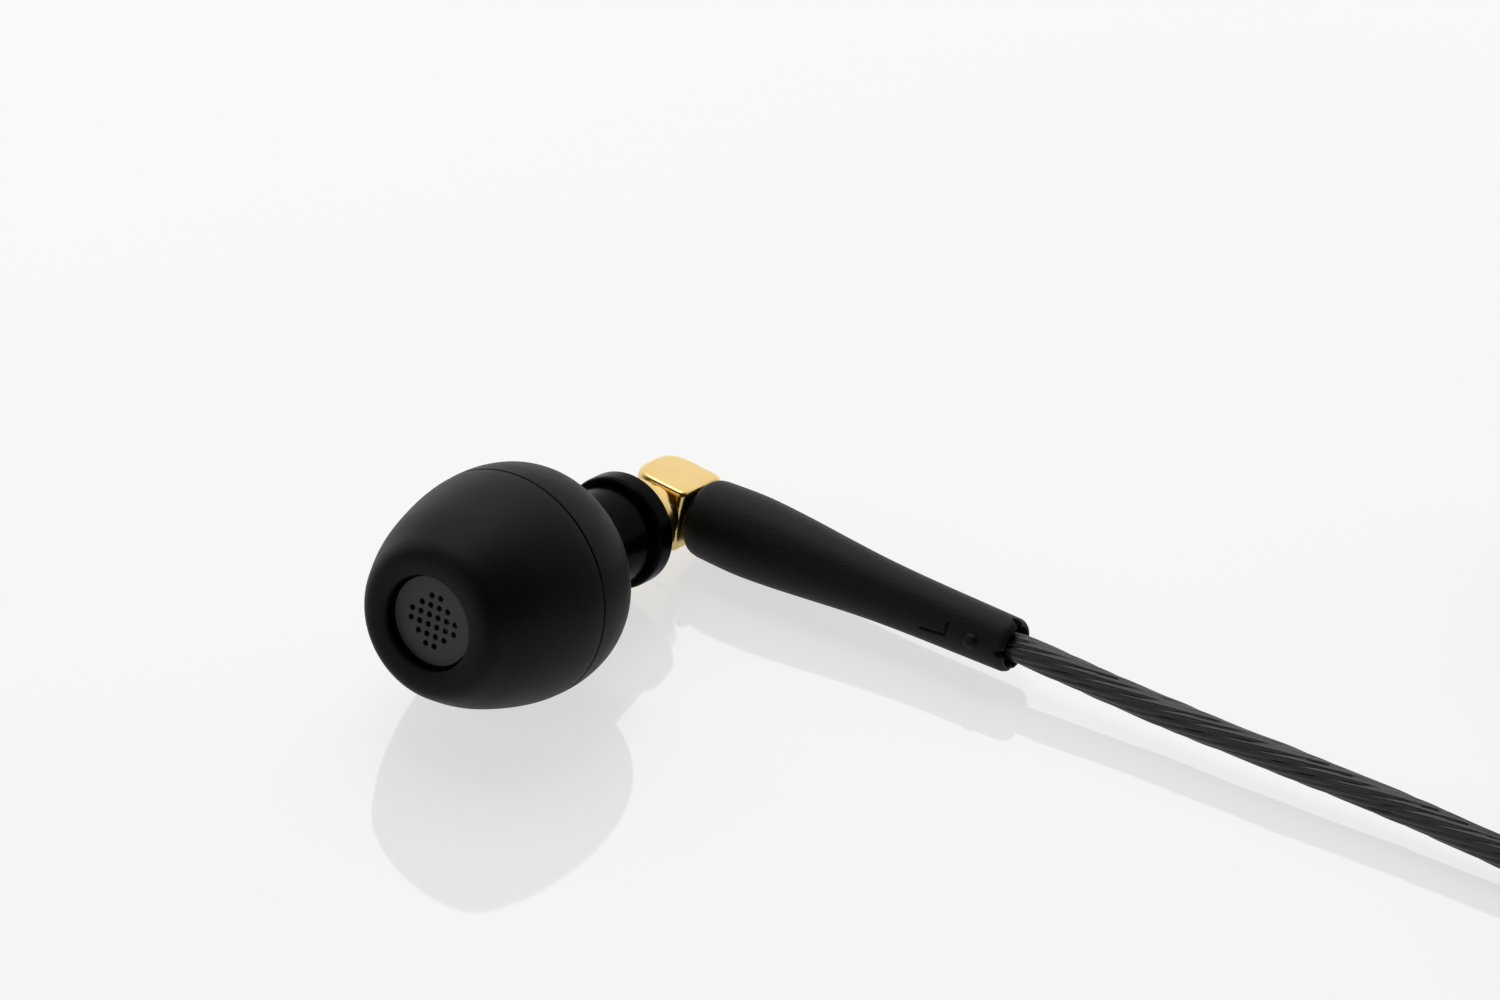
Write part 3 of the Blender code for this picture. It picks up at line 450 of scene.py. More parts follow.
def revolve(name: str, profile: Array, pose: Pose, look: Look, segments: int = 128,
            bend: Bend | None = None, sharp: float = 35.0) -> bpy.types.Object:
    """Surface of revolution: (r cos a, r sin a, h) over a profile that runs down its outer side.

    Args:
        name: the piece's name.
        profile: N by 2 array of radius and height; a profile that touches the axis is open there.
        pose: the piece's frame, with +Z along the axis.
        look: its finish.
        segments: steps round the axis.
        bend: an optional function of the radius, angle and height grids that returns new ones.
        sharp: edges steeper than this many degrees stay sharp.

    Returns:
        The new object.
    """
    open_ends = profile[:, 0].min() <= 1e-9
    body = profile[1:-1] if open_ends else profile
    angle = np.arange(segments) * (2 * math.pi / segments)
    r = np.repeat(body[:, :1], segments, 1)
    h = np.repeat(body[:, 1:], segments, 1)
    a = np.repeat(angle[None], len(body), 0)
    if bend is not None:
        r, a, h = bend(r, a, h)
    points = np.stack([r * np.cos(a), r * np.sin(a), h], -1).reshape(-1, 3)
    faces = grid_faces(len(body), segments, not open_ends).tolist()
    if open_ends:
        top, base = len(points), len(points) + 1
        points = np.vstack([points, [[0, 0, profile[0, 1]]], [[0, 0, profile[-1, 1]]]])
        last = (len(body) - 1) * segments
        turn = [(j, (j + 1) % segments) for j in range(segments)]
        faces += [[top, j, k] for j, k in turn]
        faces += [[base, last + k, last + j] for j, k in turn]
    return add_mesh(name, pose.apply(points), faces, look, sharp)


class Workshop:
    """What every piece shares: the finishes, and how a piece takes the place of solid nodes."""

    finishes: dict[Look, bpy.types.Material] = {}

    @classmethod
    def stand_for(cls, piece: bpy.types.Object, body: str, *nodes: str) -> bpy.types.Object:
        """Puts a piece on its body in place of solid nodes.

        Args:
            piece: the finished piece.
            body: the body it rides on.
            nodes: the nodes it stands for.

        Returns:
            The same piece.
        """
        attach(piece, body)
        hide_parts(*nodes)
        worn = piece.data.materials[0]
        next(look.value for look, finish in cls.finishes.items() if finish == worn)
        LOG.info("%s stands for %s on %s", piece.name, ", ".join(nodes), body)
        return piece

    @classmethod
    def dress_nodes(cls) -> None:
        """Gives every carried-over node the finish of its slot."""
        slots = {part["node"]: part["material_slot"] for part in frame["record"]["subparts"]}
        for name, node in frame["nodes"].items():
            node.data.materials.clear()
            node.data.materials.append(cls.finishes[Look(slots[name])])


# ---------------------------------------------------------------- earpieces

RELIEF_START = 1.80


def relief_radius(x: Array) -> Array:
    """Radius along the strain relief: one cubic Hermite piece between each two stations.

    On a piece of length d, with t from 0 to 1 and end slopes m0 and m1 (per piece),
    r = (2t^3 - 3t^2 + 1) r0 + (t^3 - 2t^2 + t) m0 + (3t^2 - 2t^3) r1 + (t^3 - t^2) m1.

    Args:
        x: distances from the elbow's centre along the relief.

    Returns:
        The radius at each of them.
    """
    place = np.array([0.0, 3.95, 12.2, 20.64])
    size = np.array([2.2, 2.3, 1.7, 1.5])
    slope = np.empty(4)
    slope[1:-1] = (size[2:] - size[:-2]) / (place[2:] - place[:-2])
    slope[0], slope[-1] = np.diff(size)[[0, -1]] / np.diff(place)[[0, -1]]
    along = np.clip(x - RELIEF_START, 0.0, place[-1])
    piece = np.clip(np.searchsorted(place, along, side="right") - 1, 0, 2)
    span = place[piece + 1] - place[piece]
    t = (along - place[piece]) / span
    return ((2 * t ** 3 - 3 * t ** 2 + 1) * size[piece] + (t ** 3 - 2 * t ** 2 + t) * span * slope[piece]
            + (3 * t ** 2 - 2 * t ** 3) * size[piece + 1] + (t ** 3 - t ** 2) * span * slope[piece + 1])


def stroke(x: Array, y: Array, start: tuple[float, float], stop: tuple[float, float],
           width: float) -> Array:
    """Soft mask of a straight stroke, from each place's distance to its middle line.

    Args:
        x: places along the surface.
        y: places across it.
        start: one end of the stroke.
        stop: its other end.
        width: how wide it is.

    Returns:
        1 inside the stroke, falling to 0 across its soft edge.
    """
    a, b = np.array(start), np.array(stop)
    span = b - a
    share = np.clip(((x - a[0]) * span[0] + (y - a[1]) * span[1]) / (span @ span), 0.0, 1.0)
    gap = np.hypot(x - a[0] - share * span[0], y - a[1] - share * span[1])
    return np.clip((width / 2 + 0.035 - gap) / 0.07, 0.0, 1.0)


@dataclass(frozen=True)
class ReliefMarks:
    """The side letter, sunk, and the touch dot, raised, at the cable end of a strain relief."""

    strokes: tuple[tuple[tuple[float, float], tuple[float, float]], ...]
    depth: float = 0.13
    dot_at: tuple[float, float] = (20.475, 0.09)
    dot_r: float = 0.42
    dot_height: float = 0.3

    def offset(self, x: Array, around: Array) -> Array:
        """How far the surface stands out: a dome over the dot, less the depth of the strokes.

        Args:
            x: places along the relief.
            around: places round it, as arc lengths from the line that faces the tip.

        Returns:
            The offset in millimetres.
        """
        sunk = np.zeros_like(x)
        for start, stop in self.strokes:
            sunk = np.maximum(sunk, stroke(x, around, start, stop, 0.13))
        gap = np.hypot(x - self.dot_at[0], around - self.dot_at[1]) / self.dot_r
        dome = np.sqrt(np.clip(1.0 - gap ** 2, 0.0, 1.0)) * self.dot_height
        return dome - sunk * self.depth


LETTERS = {
    Side.LEFT: ReliefMarks((((17.35, -0.34), (18.78, -0.17)), ((18.84, -0.19), (18.92, 0.6)))),
    Side.RIGHT: ReliefMarks((((17.75, -0.3), (18.95, -0.3)), ((17.75, -0.3), (17.75, 0.15)),
                             ((17.75, 0.15), (18.05, 0.35)), ((18.05, 0.35), (18.3, 0.15)),
                             ((18.3, 0.15), (18.3, -0.3)), ((18.3, 0.0), (18.95, 0.35)))),
}


def press_flat(piece: bpy.types.Object, level: float, soft: float) -> None:
    """Presses a piece flat where it rests: z becomes level + soft log(1 + exp((z - level) / soft)).

    Args:
        piece: the piece.
        level: the height that nothing goes below, in metres.
        soft: how softly the flat part runs out into the rest.
    """
    flat = np.empty(len(piece.data.vertices) * 3)
    piece.data.vertices.foreach_get("co", flat)
    points = flat.reshape(-1, 3)
    points[:, 2] = level + soft * np.logaddexp(0.0, (points[:, 2] - level) / soft)
    piece.data.vertices.foreach_set("co", points.ravel())
    piece.data.update()


@dataclass
class Earpiece:
    """One whole earpiece, made in its own frame."""

    side: Side
    pose: Pose
    made: list[bpy.types.Object] = field(default_factory=list)
    grille_face: float = 22.34
    hole_pitch: float = 0.56
    hole_r: float = 0.158
    countersink_r: float = 0.205
    collar_top: float = 4.60
    ring_base: float = 4.66
    ring_top: float = 6.06
    rest_gap: float = 0.03
    block_half_height: float = 1.85
    block_edge: float = 0.3
    block_roll_deg: float = 4.0

    def name(self, part: str) -> str:
        """A part's name with its side in front."""
        return f"{self.side.value}_{part}"

    def behind_face(self, points: Sequence[tuple[float, float]]) -> Array:
        """Points (radius, distance behind the grille's face) as points (radius, height)."""
        return np.array([(r, self.grille_face - back) for r, back in points])

    def put(self, piece: bpy.types.Object, body: str, *nodes: str) -> bpy.types.Object:
        """Stands a piece in for this side's nodes, on this side's body.

        Args:
            piece: the finished piece.
            body: its body, without the side.
            nodes: the nodes it stands for, without the side.

        Returns:
            The same piece.
        """
        host = body if body == "cable_side" else self.name(body)
        self.made.append(Workshop.stand_for(piece, host, *(self.name(node) for node in nodes)))
        return piece

    def turn(self, part: str, profile: Array, look: Look, body: str, *nodes: str,
             **extra: object) -> bpy.types.Object:
        """Revolves a part about the barrel's axis and puts it in place.

        Args:
            part: its name, without the side.
            profile: its profile, as radius and height.
            look: its finish.
            body: its body, without the side.
            nodes: the nodes it stands for, without the side.
            extra: what else `revolve` takes.

        Returns:
            The piece.
        """
        return self.put(revolve(self.name(part), profile, self.pose, look, **extra), body, *nodes)

    def make_tip(self) -> None:
        """Silicone tip: rounded lip, shallow valley, dome with a parting groove, open skirt and stem."""
        outer = smooth_line(self.behind_face([
            (2.66, -0.24), (2.66, -0.44), (2.71, -0.54), (2.86, -0.61), (3.16, -0.66), (3.52, -0.68),
            (3.87, -0.61), (4.16, -0.41), (4.43, -0.08), (4.66, 0.32), (4.90, 0.78), (5.17, 1.32),
            (5.55, 2.25), (5.94, 3.55), (6.24, 4.85), (6.39, 5.85), (6.425, 6.40),
        ]), 0.09)
        groove = self.behind_face([(6.425, 6.44), (6.375, 6.49), (6.35, 6.53), (6.375, 6.57), (6.435, 6.62)])
        skirt = smooth_line(self.behind_face([
            (6.435, 6.66), (6.44, 7.0), (6.41, 7.7), (6.30, 8.45), (6.12, 9.15), (5.84, 9.8), (5.56, 10.2),
        ]), 0.1)
        hem = self.behind_face([(5.47, 10.3), (5.33, 10.39), (5.15, 10.4), (5.0, 10.34), (4.94, 10.2)])
        inside = smooth_line(self.behind_face([
            (4.93, 10.05), (5.25, 9.2), (5.55, 7.9), (5.62, 6.6), (5.4, 5.2), (4.9, 3.9), (4.3, 3.05),
            (3.9, 2.8), (3.66, 3.1),
        ]), 0.2)
        face = self.grille_face
        stem = filleted([(3.6, face - 3.3, 0), (3.6, face - 9.6, 0.15), (3.0, face - 9.6, 0.1),
                         (3.0, face + 0.22, 0.03), (2.67, face + 0.22, 0)], False)
        profile = np.vstack([outer, groove, skirt, hem, inside, dense(stem, False, 0.6)])
        tip = self.turn("soft_tip", profile, Look.SILICONE, "tip", "ear_tip", segments=192, sharp=50)
        press_flat(tip, self.rest_gap * MM, self.rest_gap * MM)

    def make_grille(self) -> None:
        """Flat disc with its diamond of 24 drilled holes, each with a small countersink."""
        face = self.grille_face
        disc = filleted([(0.0, face, 0), (2.5, face, 0.05), (2.5, face - 0.25, 0.03), (0.0, face - 0.25, 0)],
                        False)
        plate = revolve(self.name("sound_grille"), disc, self.pose, Look.GRILLE, 128)
        bm = bmesh.new()
        steps = [index + 0.5 for index in range(-3, 3)]
        pitch = self.hole_pitch
        centres = [(x * pitch, y * pitch) for x in steps for y in steps if abs(x) + abs(y) <= 3]
        sides = 28
        turn = np.arange(sides) * (2 * math.pi / sides)
        rings = [(self.countersink_r, face + 0.02), (self.hole_r, face - 0.03), (self.hole_r, face - 0.4)]
        for x, y in centres:
            loops = []
            for radius, height in rings:
                points = np.stack([x + radius * np.cos(turn), y + radius * np.sin(turn),
                                   np.full(sides, height)], -1)
                loops.append([bm.verts.new(p) for p in self.pose.apply(points)])
            for upper, lower in zip(loops, loops[1:]):
                for k in range(sides):
                    bm.faces.new((upper[k - 1], lower[k - 1], lower[k], upper[k]))
            bm.faces.new(loops[0])
            bm.faces.new(loops[-1][::-1])
        bmesh.ops.recalc_face_normals(bm, faces=bm.faces)
        carve(plate, bm)
        self.put(plate, "housing", "nozzle_grille")

    def make_barrel(self) -> None:
        """Glossy barrel with the nozzle's rim and ledge, and the rounded flange ring that closes it."""
        rim, seat = self.grille_face + 0.12, self.grille_face - 0.3
        shell = filleted([
            (2.9, rim, 0.1), (2.9, 11.94, 0.12), (2.75, 11.64, 0.1), (2.75, 6.11, 0.06), (2.45, 6.11, 0.04),
            (2.45, seat - 1.2, 0.1), (2.25, seat - 0.9, 0.05), (2.25, seat, 0.02), (2.55, seat, 0.02),
            (2.55, rim, 0.06),
        ], True)
        self.turn("gloss_barrel", dense(shell, True, 0.8), Look.BARREL, "housing", "barrel", segments=160)
        ring = filleted([
            (2.40, 7.16, 0.05), (2.40, self.ring_top, 0.02), (2.62, self.ring_top, 0.02),
            (3.18, self.ring_top, 0.42), (3.18, self.ring_base, 0.2), (1.71, self.ring_base, 0.06),
            (1.71, 7.16, 0.03),
        ], True, 10)
        self.turn("flange_ring", dense(ring, True, 0.4), Look.BARREL, "housing", "rear_ring", segments=160)
        socket = filleted([
            (1.66, 8.26, 0.08), (1.66, self.ring_base, 0.03), (1.34, self.ring_base, 0.1),
            (1.34, 8.26, 0.04),
        ], True)
        self.turn("socket_sleeve", dense(socket, True, 0.5), Look.GOLD, "housing", "socket_shell",
                  segments=96)
        washer = filleted([
            (1.29, 8.26, 0.05), (1.29, 7.66, 0.05), (0.51, 7.66, 0.05), (0.51, 8.26, 0.05),
        ], True)
        self.turn("socket_washer", washer, Look.RESIN, "housing", "socket_insulator", segments=72)
        contact = filleted([
            (0.46, 8.56, 0.04), (0.46, 5.96, 0.04), (0.28, 5.96, 0.06), (0.28, 8.56, 0.03),
        ], True)
        self.turn("socket_pin_tube", contact, Look.GOLD, "housing", "socket_contact", segments=48)

    def make_connector(self) -> None:
        """Gold coaxial plug: neck, collar, grooved sleeve, split snap ring, insulator and pin."""
        body = filleted([
            (1.28, 7.20, 0.14), (1.28, 6.55, 0.02), (1.12, 6.55, 0.02), (1.12, 6.10, 0.02),
            (1.28, 6.10, 0.02), (1.28, self.collar_top, 0.03), (2.42, self.collar_top, 0.2),
            (2.42, 3.25, 0.2), (1.65, 3.25, 0.12), (1.65, 1.95, 0.05), (1.10, 1.95, 0.03),
            (1.10, 1.45, 0.05), (0.98, 1.45, 0.03), (0.98, 7.20, 0.06),
        ], True)
        self.turn("gold_connector", dense(body, True, 0.4), Look.GOLD, "cable_side", "connector_body",
                  segments=144)
        columns = 72
        band = filleted([
            (1.31, 6.52, 0.06), (1.31, 6.13, 0.06), (1.15, 6.13, 0.04), (1.15, 6.52, 0.04),
        ], True)

        def split(r: Array, a: Array, h: Array) -> tuple[Array, Array, Array]:
            """Leaves the ring's gap open: its first and last columns stop 11 degrees either side of +X."""
            stretch = (math.radians(338) / (2 * math.pi)) * columns / (columns - 1)
            return r, math.radians(11) + a * stretch, h

        ring = revolve(self.name("snap_ring"), band, self.pose, Look.BRONZE, columns, split)
        cut_last_column(ring, columns, len(band))
        self.put(ring, "snap", "connector_snap_ring")
        washer = filleted([
            (0.93, 4.80, 0.06), (0.93, 3.50, 0.04), (0.27, 3.50, 0.04), (0.27, 4.80, 0.05),
        ], True)
        self.turn("connector_washer", washer, Look.RESIN, "cable_side", "connector_insulator", segments=64)
        pin = filleted([
            (0.0, 6.80, 0), (0.1, 6.79, 0.04), (0.22, 6.56, 0.06), (0.22, 3.00, 0.03), (0.0, 3.00, 0),
        ], False)
        self.turn("connector_pin_gold", dense(pin, False, 0.5), Look.GOLD, "cable_side", "connector_pin",
                  segments=40)

    def make_elbow(self) -> None:
        """Gold elbow block: a flat-topped slab in plan, rounded at its far end, edges softly rolled."""
        corners = [(1.6, 1.9, 0.5), (-2.05, 1.9, 1.45), (-2.05, -1.9, 1.45), (1.6, -1.9, 0.5)]
        plan = filleted(corners, True, 14)
        edge, half = self.block_edge, self.block_half_height
        levels = [(half - edge + edge * math.sin(t), edge - edge * math.cos(t))
                  for t in np.linspace(math.pi / 2, 0, 8)]
        centre = plan.mean(0)
        loops = []
        for height, inset in levels + [(-h, i) for h, i in reversed(levels)]:
            away = plan - centre
            scale = 1 - inset / np.maximum(np.abs(away).max(0), 1e-6)
            loops.append(np.column_stack([centre[0] + away[:, 0] * scale[0], np.full(len(plan), height),
                                          centre[1] + away[:, 1] * scale[1]]))
        points = np.vstack(loops)
        roll_back = math.radians(self.block_roll_deg)
        points[:, :2] = points[:, :2] @ np.array([[math.cos(roll_back), -math.sin(roll_back)],
                                                  [math.sin(roll_back), math.cos(roll_back)]])
        count = len(plan)
        faces = grid_faces(len(loops), count).tolist()
        faces += [list(range(count))[::-1], [len(points) - count + k for k in range(count)]]
        block = add_mesh(self.name("gold_elbow"), self.pose.apply(points), faces, Look.GOLD, 40)
        turn_faces_out(block)
        for axis, radius, start, stop in ((2, 1.15, 0.0, 3.0), (0, 1.10, -0.3, 3.0)):
            bore = bmesh.new()
            add_bore(bore, self.pose, axis, radius, start, stop)
            carve(block, bore)
        self.put(block, "cable_side", "elbow_block")

    def make_relief(self) -> None:
        """Rubber strain relief along +X with its marks and a recessed end, over a steel crimp ferrule."""
        marks = LETTERS[self.side]
        coarse = np.arange(RELIEF_START + 0.85, 16.9, 0.35)
        fine = np.arange(16.9, 21.15, 0.055)
        last = np.arange(21.2, 22.15, 0.15)
        along = np.concatenate([coarse, fine, last])[::-1]
        side = np.column_stack([relief_radius(along), along])
        rear = np.array([(1.17, 22.42), (1.22, 22.44), (1.30, 22.43), (1.38, 22.37), (1.44, 22.28),
                         (1.475, 22.2)])
        bow = np.linspace(0.0, math.pi / 2, 9)
        nose = np.column_stack([1.45 + 0.75 * np.cos(bow), 2.55 - 0.75 * np.sin(bow)])
        front = np.vstack([nose, [[1.13, RELIEF_START]]])
        bore = np.array([(1.10, 1.83), (1.10, 8.23), (1.07, 8.25), (0.87, 8.27), (0.85, 8.3), (0.85, 21.6),
                         (0.87, 21.65), (0.95, 21.68), (1.08, 21.7), (1.12, 21.75), (1.14, 22.0),
                         (1.16, 22.35)])
        profile = np.vstack([rear, side, front, dense(bore, False, 1.2)])
        segments = 224

        def mark(r: Array, a: Array, h: Array) -> tuple[Array, Array, Array]:
            """Adds the marks to the outer side, where angle 0 faces the tip, and four slots at the end."""
            turn = (a + math.pi) % (2 * math.pi) - math.pi
            outer = (r > 1.3) & (h > 12.0)
            out = np.where(outer, marks.offset(h, turn * r), 0.0)
            gap = np.abs((turn * 2 / math.pi + 0.5) % 1 - 0.5) * 8.0
            slot = np.where(gap < 1.0, 0.5 + 0.5 * np.cos(np.clip(gap, 0.0, 1.0) * math.pi), 0.0)
            reach = np.clip((h - 21.9) / 0.4, 0.0, 1.0)
            back = np.where((h > 21.9) & (r > 1.12), slot * 0.34 * reach, 0.0)
            return r + out, a, h - back

        # Along the relief, the piece's +Z is the earpiece's +X; its angle runs from +Z towards +Y.
        lie = Pose(self.pose.origin, np.array([self.pose.axes[2], self.pose.axes[1], self.pose.axes[0]]))
        boot = revolve(self.name("rubber_relief"), profile, lie, Look.RUBBER, segments, mark, 50)
        boot.data.flip_normals()
        self.put(boot, "cable_side", "strain_relief")
        tube = filleted([(1.05, 8.2, 0.05), (1.05, 0.7, 0.05), (0.85, 0.7, 0.05), (0.85, 8.2, 0.05)], True)
        ferrule = revolve(self.name("steel_ferrule"), dense(tube, True, 0.8), lie, Look.STEEL, 64)
        ferrule.data.flip_normals()
        self.put(ferrule, "cable_side", "crimp_ferrule")

    def build(self) -> list[bpy.types.Object]:
        """Makes every piece of this earpiece."""
        self.make_tip()
        self.make_grille()
        self.make_barrel()
        self.make_connector()
        self.make_elbow()
        self.make_relief()
        return self.made


def turn_faces_out(piece: bpy.types.Object) -> None:
    """Recalculates the normals of a closed piece, so that its faces point outwards."""
    bm = bmesh.new()
    bm.from_mesh(piece.data)
    bmesh.ops.recalc_face_normals(bm, faces=bm.faces)
    bm.to_mesh(piece.data)
    bm.free()


def add_bore(bm: bmesh.types.BMesh, pose: Pose, axis: int, radius: float, start: float, stop: float,
             shift: tuple[float, float] = (0.0, 0.0)) -> None:
    """Adds a closed cylinder along one axis of a pose, to be cut away from a piece.

    Args:
        bm: the mesh it is added to.
        pose: the piece's frame.
        axis: the number of the axis that it lies along.
        radius: its radius.
        start: where it starts on that axis.
        stop: where it stops.
        shift: its place on the other two axes.
    """
    others = [index for index in range(3) if index != axis]
    turn = np.arange(64) * (2 * math.pi / 64)
    loops = []
    for height in (start, stop):
        points = np.zeros((64, 3))
        points[:, others[0]] = shift[0] + radius * np.cos(turn)
        points[:, others[1]] = shift[1] + radius * np.sin(turn)
        points[:, axis] = height
        loops.append([bm.verts.new(p) for p in pose.apply(points)])
    for k in range(64):
        bm.faces.new((loops[0][k - 1], loops[0][k], loops[1][k], loops[1][k - 1]))
    bm.faces.new(loops[0])
    bm.faces.new(loops[1][::-1])
    bmesh.ops.recalc_face_normals(bm, faces=bm.faces)


def carve(piece: bpy.types.Object, bm: bmesh.types.BMesh) -> None:
    """Cuts a mesh away from a piece and keeps the result as the piece's own mesh.

    Args:
        piece: the piece.
        bm: the closed mesh to cut away, which is freed.
    """
    mesh = bpy.data.meshes.new("cutter")
    bm.to_mesh(mesh)
    bm.free()
    cutter = bpy.data.objects.new("cutter", mesh)
    bpy.context.scene.collection.objects.link(cutter)
    step = piece.modifiers.new("cut", "BOOLEAN")
    step.operation, step.solver, step.object = "DIFFERENCE", "EXACT", cutter
    graph = bpy.context.evaluated_depsgraph_get()
    result = bpy.data.meshes.new_from_object(piece.evaluated_get(graph), depsgraph=graph)
    piece.modifiers.clear()
    old, piece.data = piece.data, result
    result.name = old.name
    bpy.data.meshes.remove(old)
    bpy.data.objects.remove(cutter, do_unlink=True)
    bpy.data.meshes.remove(mesh)
    result.shade_smooth()
    result.set_sharp_from_angle(angle=math.radians(30))


def cut_last_column(piece: bpy.types.Object, segments: int, rows: int) -> None:
    """Opens a revolved ring between its last and first columns, and closes both ends.

    Args:
        piece: the ring.
        segments: its columns.
        rows: the points of its profile.
    """
    bm = bmesh.new()
    bm.from_mesh(piece.data)
    bm.verts.ensure_lookup_table()
    first = {bm.verts[row * segments] for row in range(rows)}
    last = {bm.verts[row * segments + segments - 1] for row in range(rows)}
    gone = [face for face in bm.faces if first & set(face.verts) and last & set(face.verts)]
    bmesh.ops.delete(bm, geom=gone, context="FACES")
    bm.verts.ensure_lookup_table()
    bm.faces.new([bm.verts[row * segments] for row in range(rows)])
    bm.faces.new([bm.verts[row * segments + segments - 1] for row in reversed(range(rows))])
    bmesh.ops.recalc_face_normals(bm, faces=bm.faces)
    bm.to_mesh(piece.data)
    bm.free()
    piece.data.shade_smooth()
    piece.data.set_sharp_from_angle(angle=math.radians(35))


# ---------------------------------------------------------------- cords


@dataclass(frozen=True)
class Winding:
    """A coil: its centre, the slots its turns fill in order, and how it is entered and left."""

    centre: tuple[float, float]
    slots: tuple[tuple[float, float], ...]
    start_deg: float
    sweep_deg: float
    clockwise: bool
    first_change: float
    turn: float
    window: float = 62.0

    def points(self) -> Array:
        """Centreline of the coil.

        The angle runs on steadily; radius and height hold a slot's values and cross to the next slot's
        by a smootherstep, and every change comes a little earlier round the coil than the one before.

        Returns:
            Points at most five degrees apart, in layout millimetres.
        """
        sweep = np.arange(0.0, self.sweep_deg, 5.0)
        sweep = np.append(sweep, self.sweep_deg)
        radius = np.full_like(sweep, self.slots[0][0])
        height = np.full_like(sweep, self.slots[0][1])
        for index in range(1, len(self.slots)):
            middle = self.first_change + (index - 1) * self.turn
            share = np.clip((sweep - middle) / self.window + 0.5, 0.0, 1.0)
            ease = share ** 3 * (share * (share * 6 - 15) + 10)
            radius += (self.slots[index][0] - self.slots[index - 1][0]) * ease
            height += (self.slots[index][1] - self.slots[index - 1][1]) * ease
        angle = np.radians(self.start_deg + (-sweep if self.clockwise else sweep))
        return np.stack([self.centre[0] + radius * np.cos(angle), self.centre[1] + radius * np.sin(angle),
                         height], -1)


def ladder(columns: Sequence[float], layers: Sequence[float]) -> tuple[tuple[float, float], ...]:
    """Slots layer by layer, running in on one layer and out on the next.

    Args:
        columns: the radii that a layer fills, in order.
        layers: the heights of the layers.

    Returns:
        Radius and height of each slot.
    """
    slots: list[tuple[float, float]] = []
    for index, height in enumerate(layers):
        order = columns if index % 2 == 0 else tuple(reversed(columns))
        slots += [(radius, height) for radius in order]
    return tuple(slots)


@dataclass(frozen=True)
class TwistedCord:
    """A cord of fine strands laid round each other: how many, how steep, and how deep they show."""

    name: str
    radius: float
    strands: int = 12
    lay: float = 26.0
    groups: int = 4
    strand_depth: float = 0.11
    group_depth: float = 0.025
    around: int = 72

    def rings(self, route: Array, fine_until: float, fine: float, coarse: float) -> tuple[Array, Array]:
        """Ring centres along a route, close together at first and wider later.

        Args:
            route: the centreline's points.
            fine_until: how much of the length has closely spaced rings.
            fine: ring spacing there.
            coarse: ring spacing elsewhere.

        Returns:
            The centres and their arc lengths.
        """
        line = smooth_line(route, 0.25)
        steps = np.linalg.norm(np.diff(line, axis=0), axis=1)
        arc = np.concatenate([[0.0], np.cumsum(steps)])
        total = arc[-1]
        stops = np.arange(0.0, min(fine_until, total), fine)
        if total > fine_until:
            stops = np.concatenate([stops, np.arange(fine_until, total - coarse * 0.5, coarse)])
        stops = np.append(stops, total)
        return np.stack([np.interp(stops, arc, line[:, k]) for k in range(3)], -1), stops

    def make(self, route: Array, fine_until: float = 0.0, fine: float = 0.2, coarse: float = 0.85,
             flip: bool = True) -> tuple[bpy.types.Object, Array, float]:
        """Builds the cord.

        Each ring's points turn with the lay, so a strand's crest stays on the same column of points. A
        strand is a rounded lobe, groups of strands swell a little together, and slow sine waves along the
        length lift or sink single strands so that no two are alike.

        Args:
            route: the centreline's points, in layout millimetres.
            fine_until: how much of the length has closely spaced rings.
            fine: ring spacing there.
            coarse: ring spacing elsewhere.
            flip: lays the strands the other way.

        Returns:
            The object, its ring centres in row-frame metres and its length in metres.
        """
        centres, arc = self.rings(route, fine_until, fine, coarse)
        tangent = np.gradient(centres, axis=0)
        tangent /= np.linalg.norm(tangent, axis=1)[:, None]
        side = np.zeros_like(tangent)
        start = np.cross(tangent[0], (0.0, 0.0, 1.0))
        side[0] = start / np.linalg.norm(start)
        for index in range(1, len(centres)):
            step = side[index - 1] - tangent[index] * (side[index - 1] @ tangent[index])
            side[index] = step / np.linalg.norm(step)
        up = np.cross(tangent, side)
        column = np.arange(self.around) * (2 * math.pi / self.around)
        strand = column * self.strands / (2 * math.pi)
        index = np.floor(strand)
        lobe = np.sqrt(np.clip(1.0 - (2 * (strand - index) - 1.0) ** 2 * 0.92, 0.0, 1.0))
        along = arc[:, None]
        wander = (np.sin(along * 0.83 + index * 2.4) + np.sin(along * 1.9 + index * 4.1)) * 0.012
        swell = np.cos(column * self.groups + np.sin(along * 0.31) * 0.9) * 0.5 - 0.5
        radius = (self.radius + 0.02 - self.strand_depth * (1.0 - lobe)[None] + self.group_depth * swell
                  + wander)
        turn = column[None] + (-1 if flip else 1) * along * (2 * math.pi / self.lay)
        points = (centres[:, None] + side[:, None] * (radius * np.cos(turn))[..., None]
                  + up[:, None] * (radius * np.sin(turn))[..., None])
        faces = grid_faces(len(centres), self.around).tolist()
        last = (len(centres) - 1) * self.around
        faces += [list(range(self.around)), [last + k for k in reversed(range(self.around))]]
        made = add_mesh(self.name, (points.reshape(-1, 3) - ORIGIN) * MM, faces, Look.CORD, 80)
        length = float(np.linalg.norm(np.diff(centres, axis=0), axis=1).sum()) * MM
        return made, (centres - ORIGIN) * MM, length


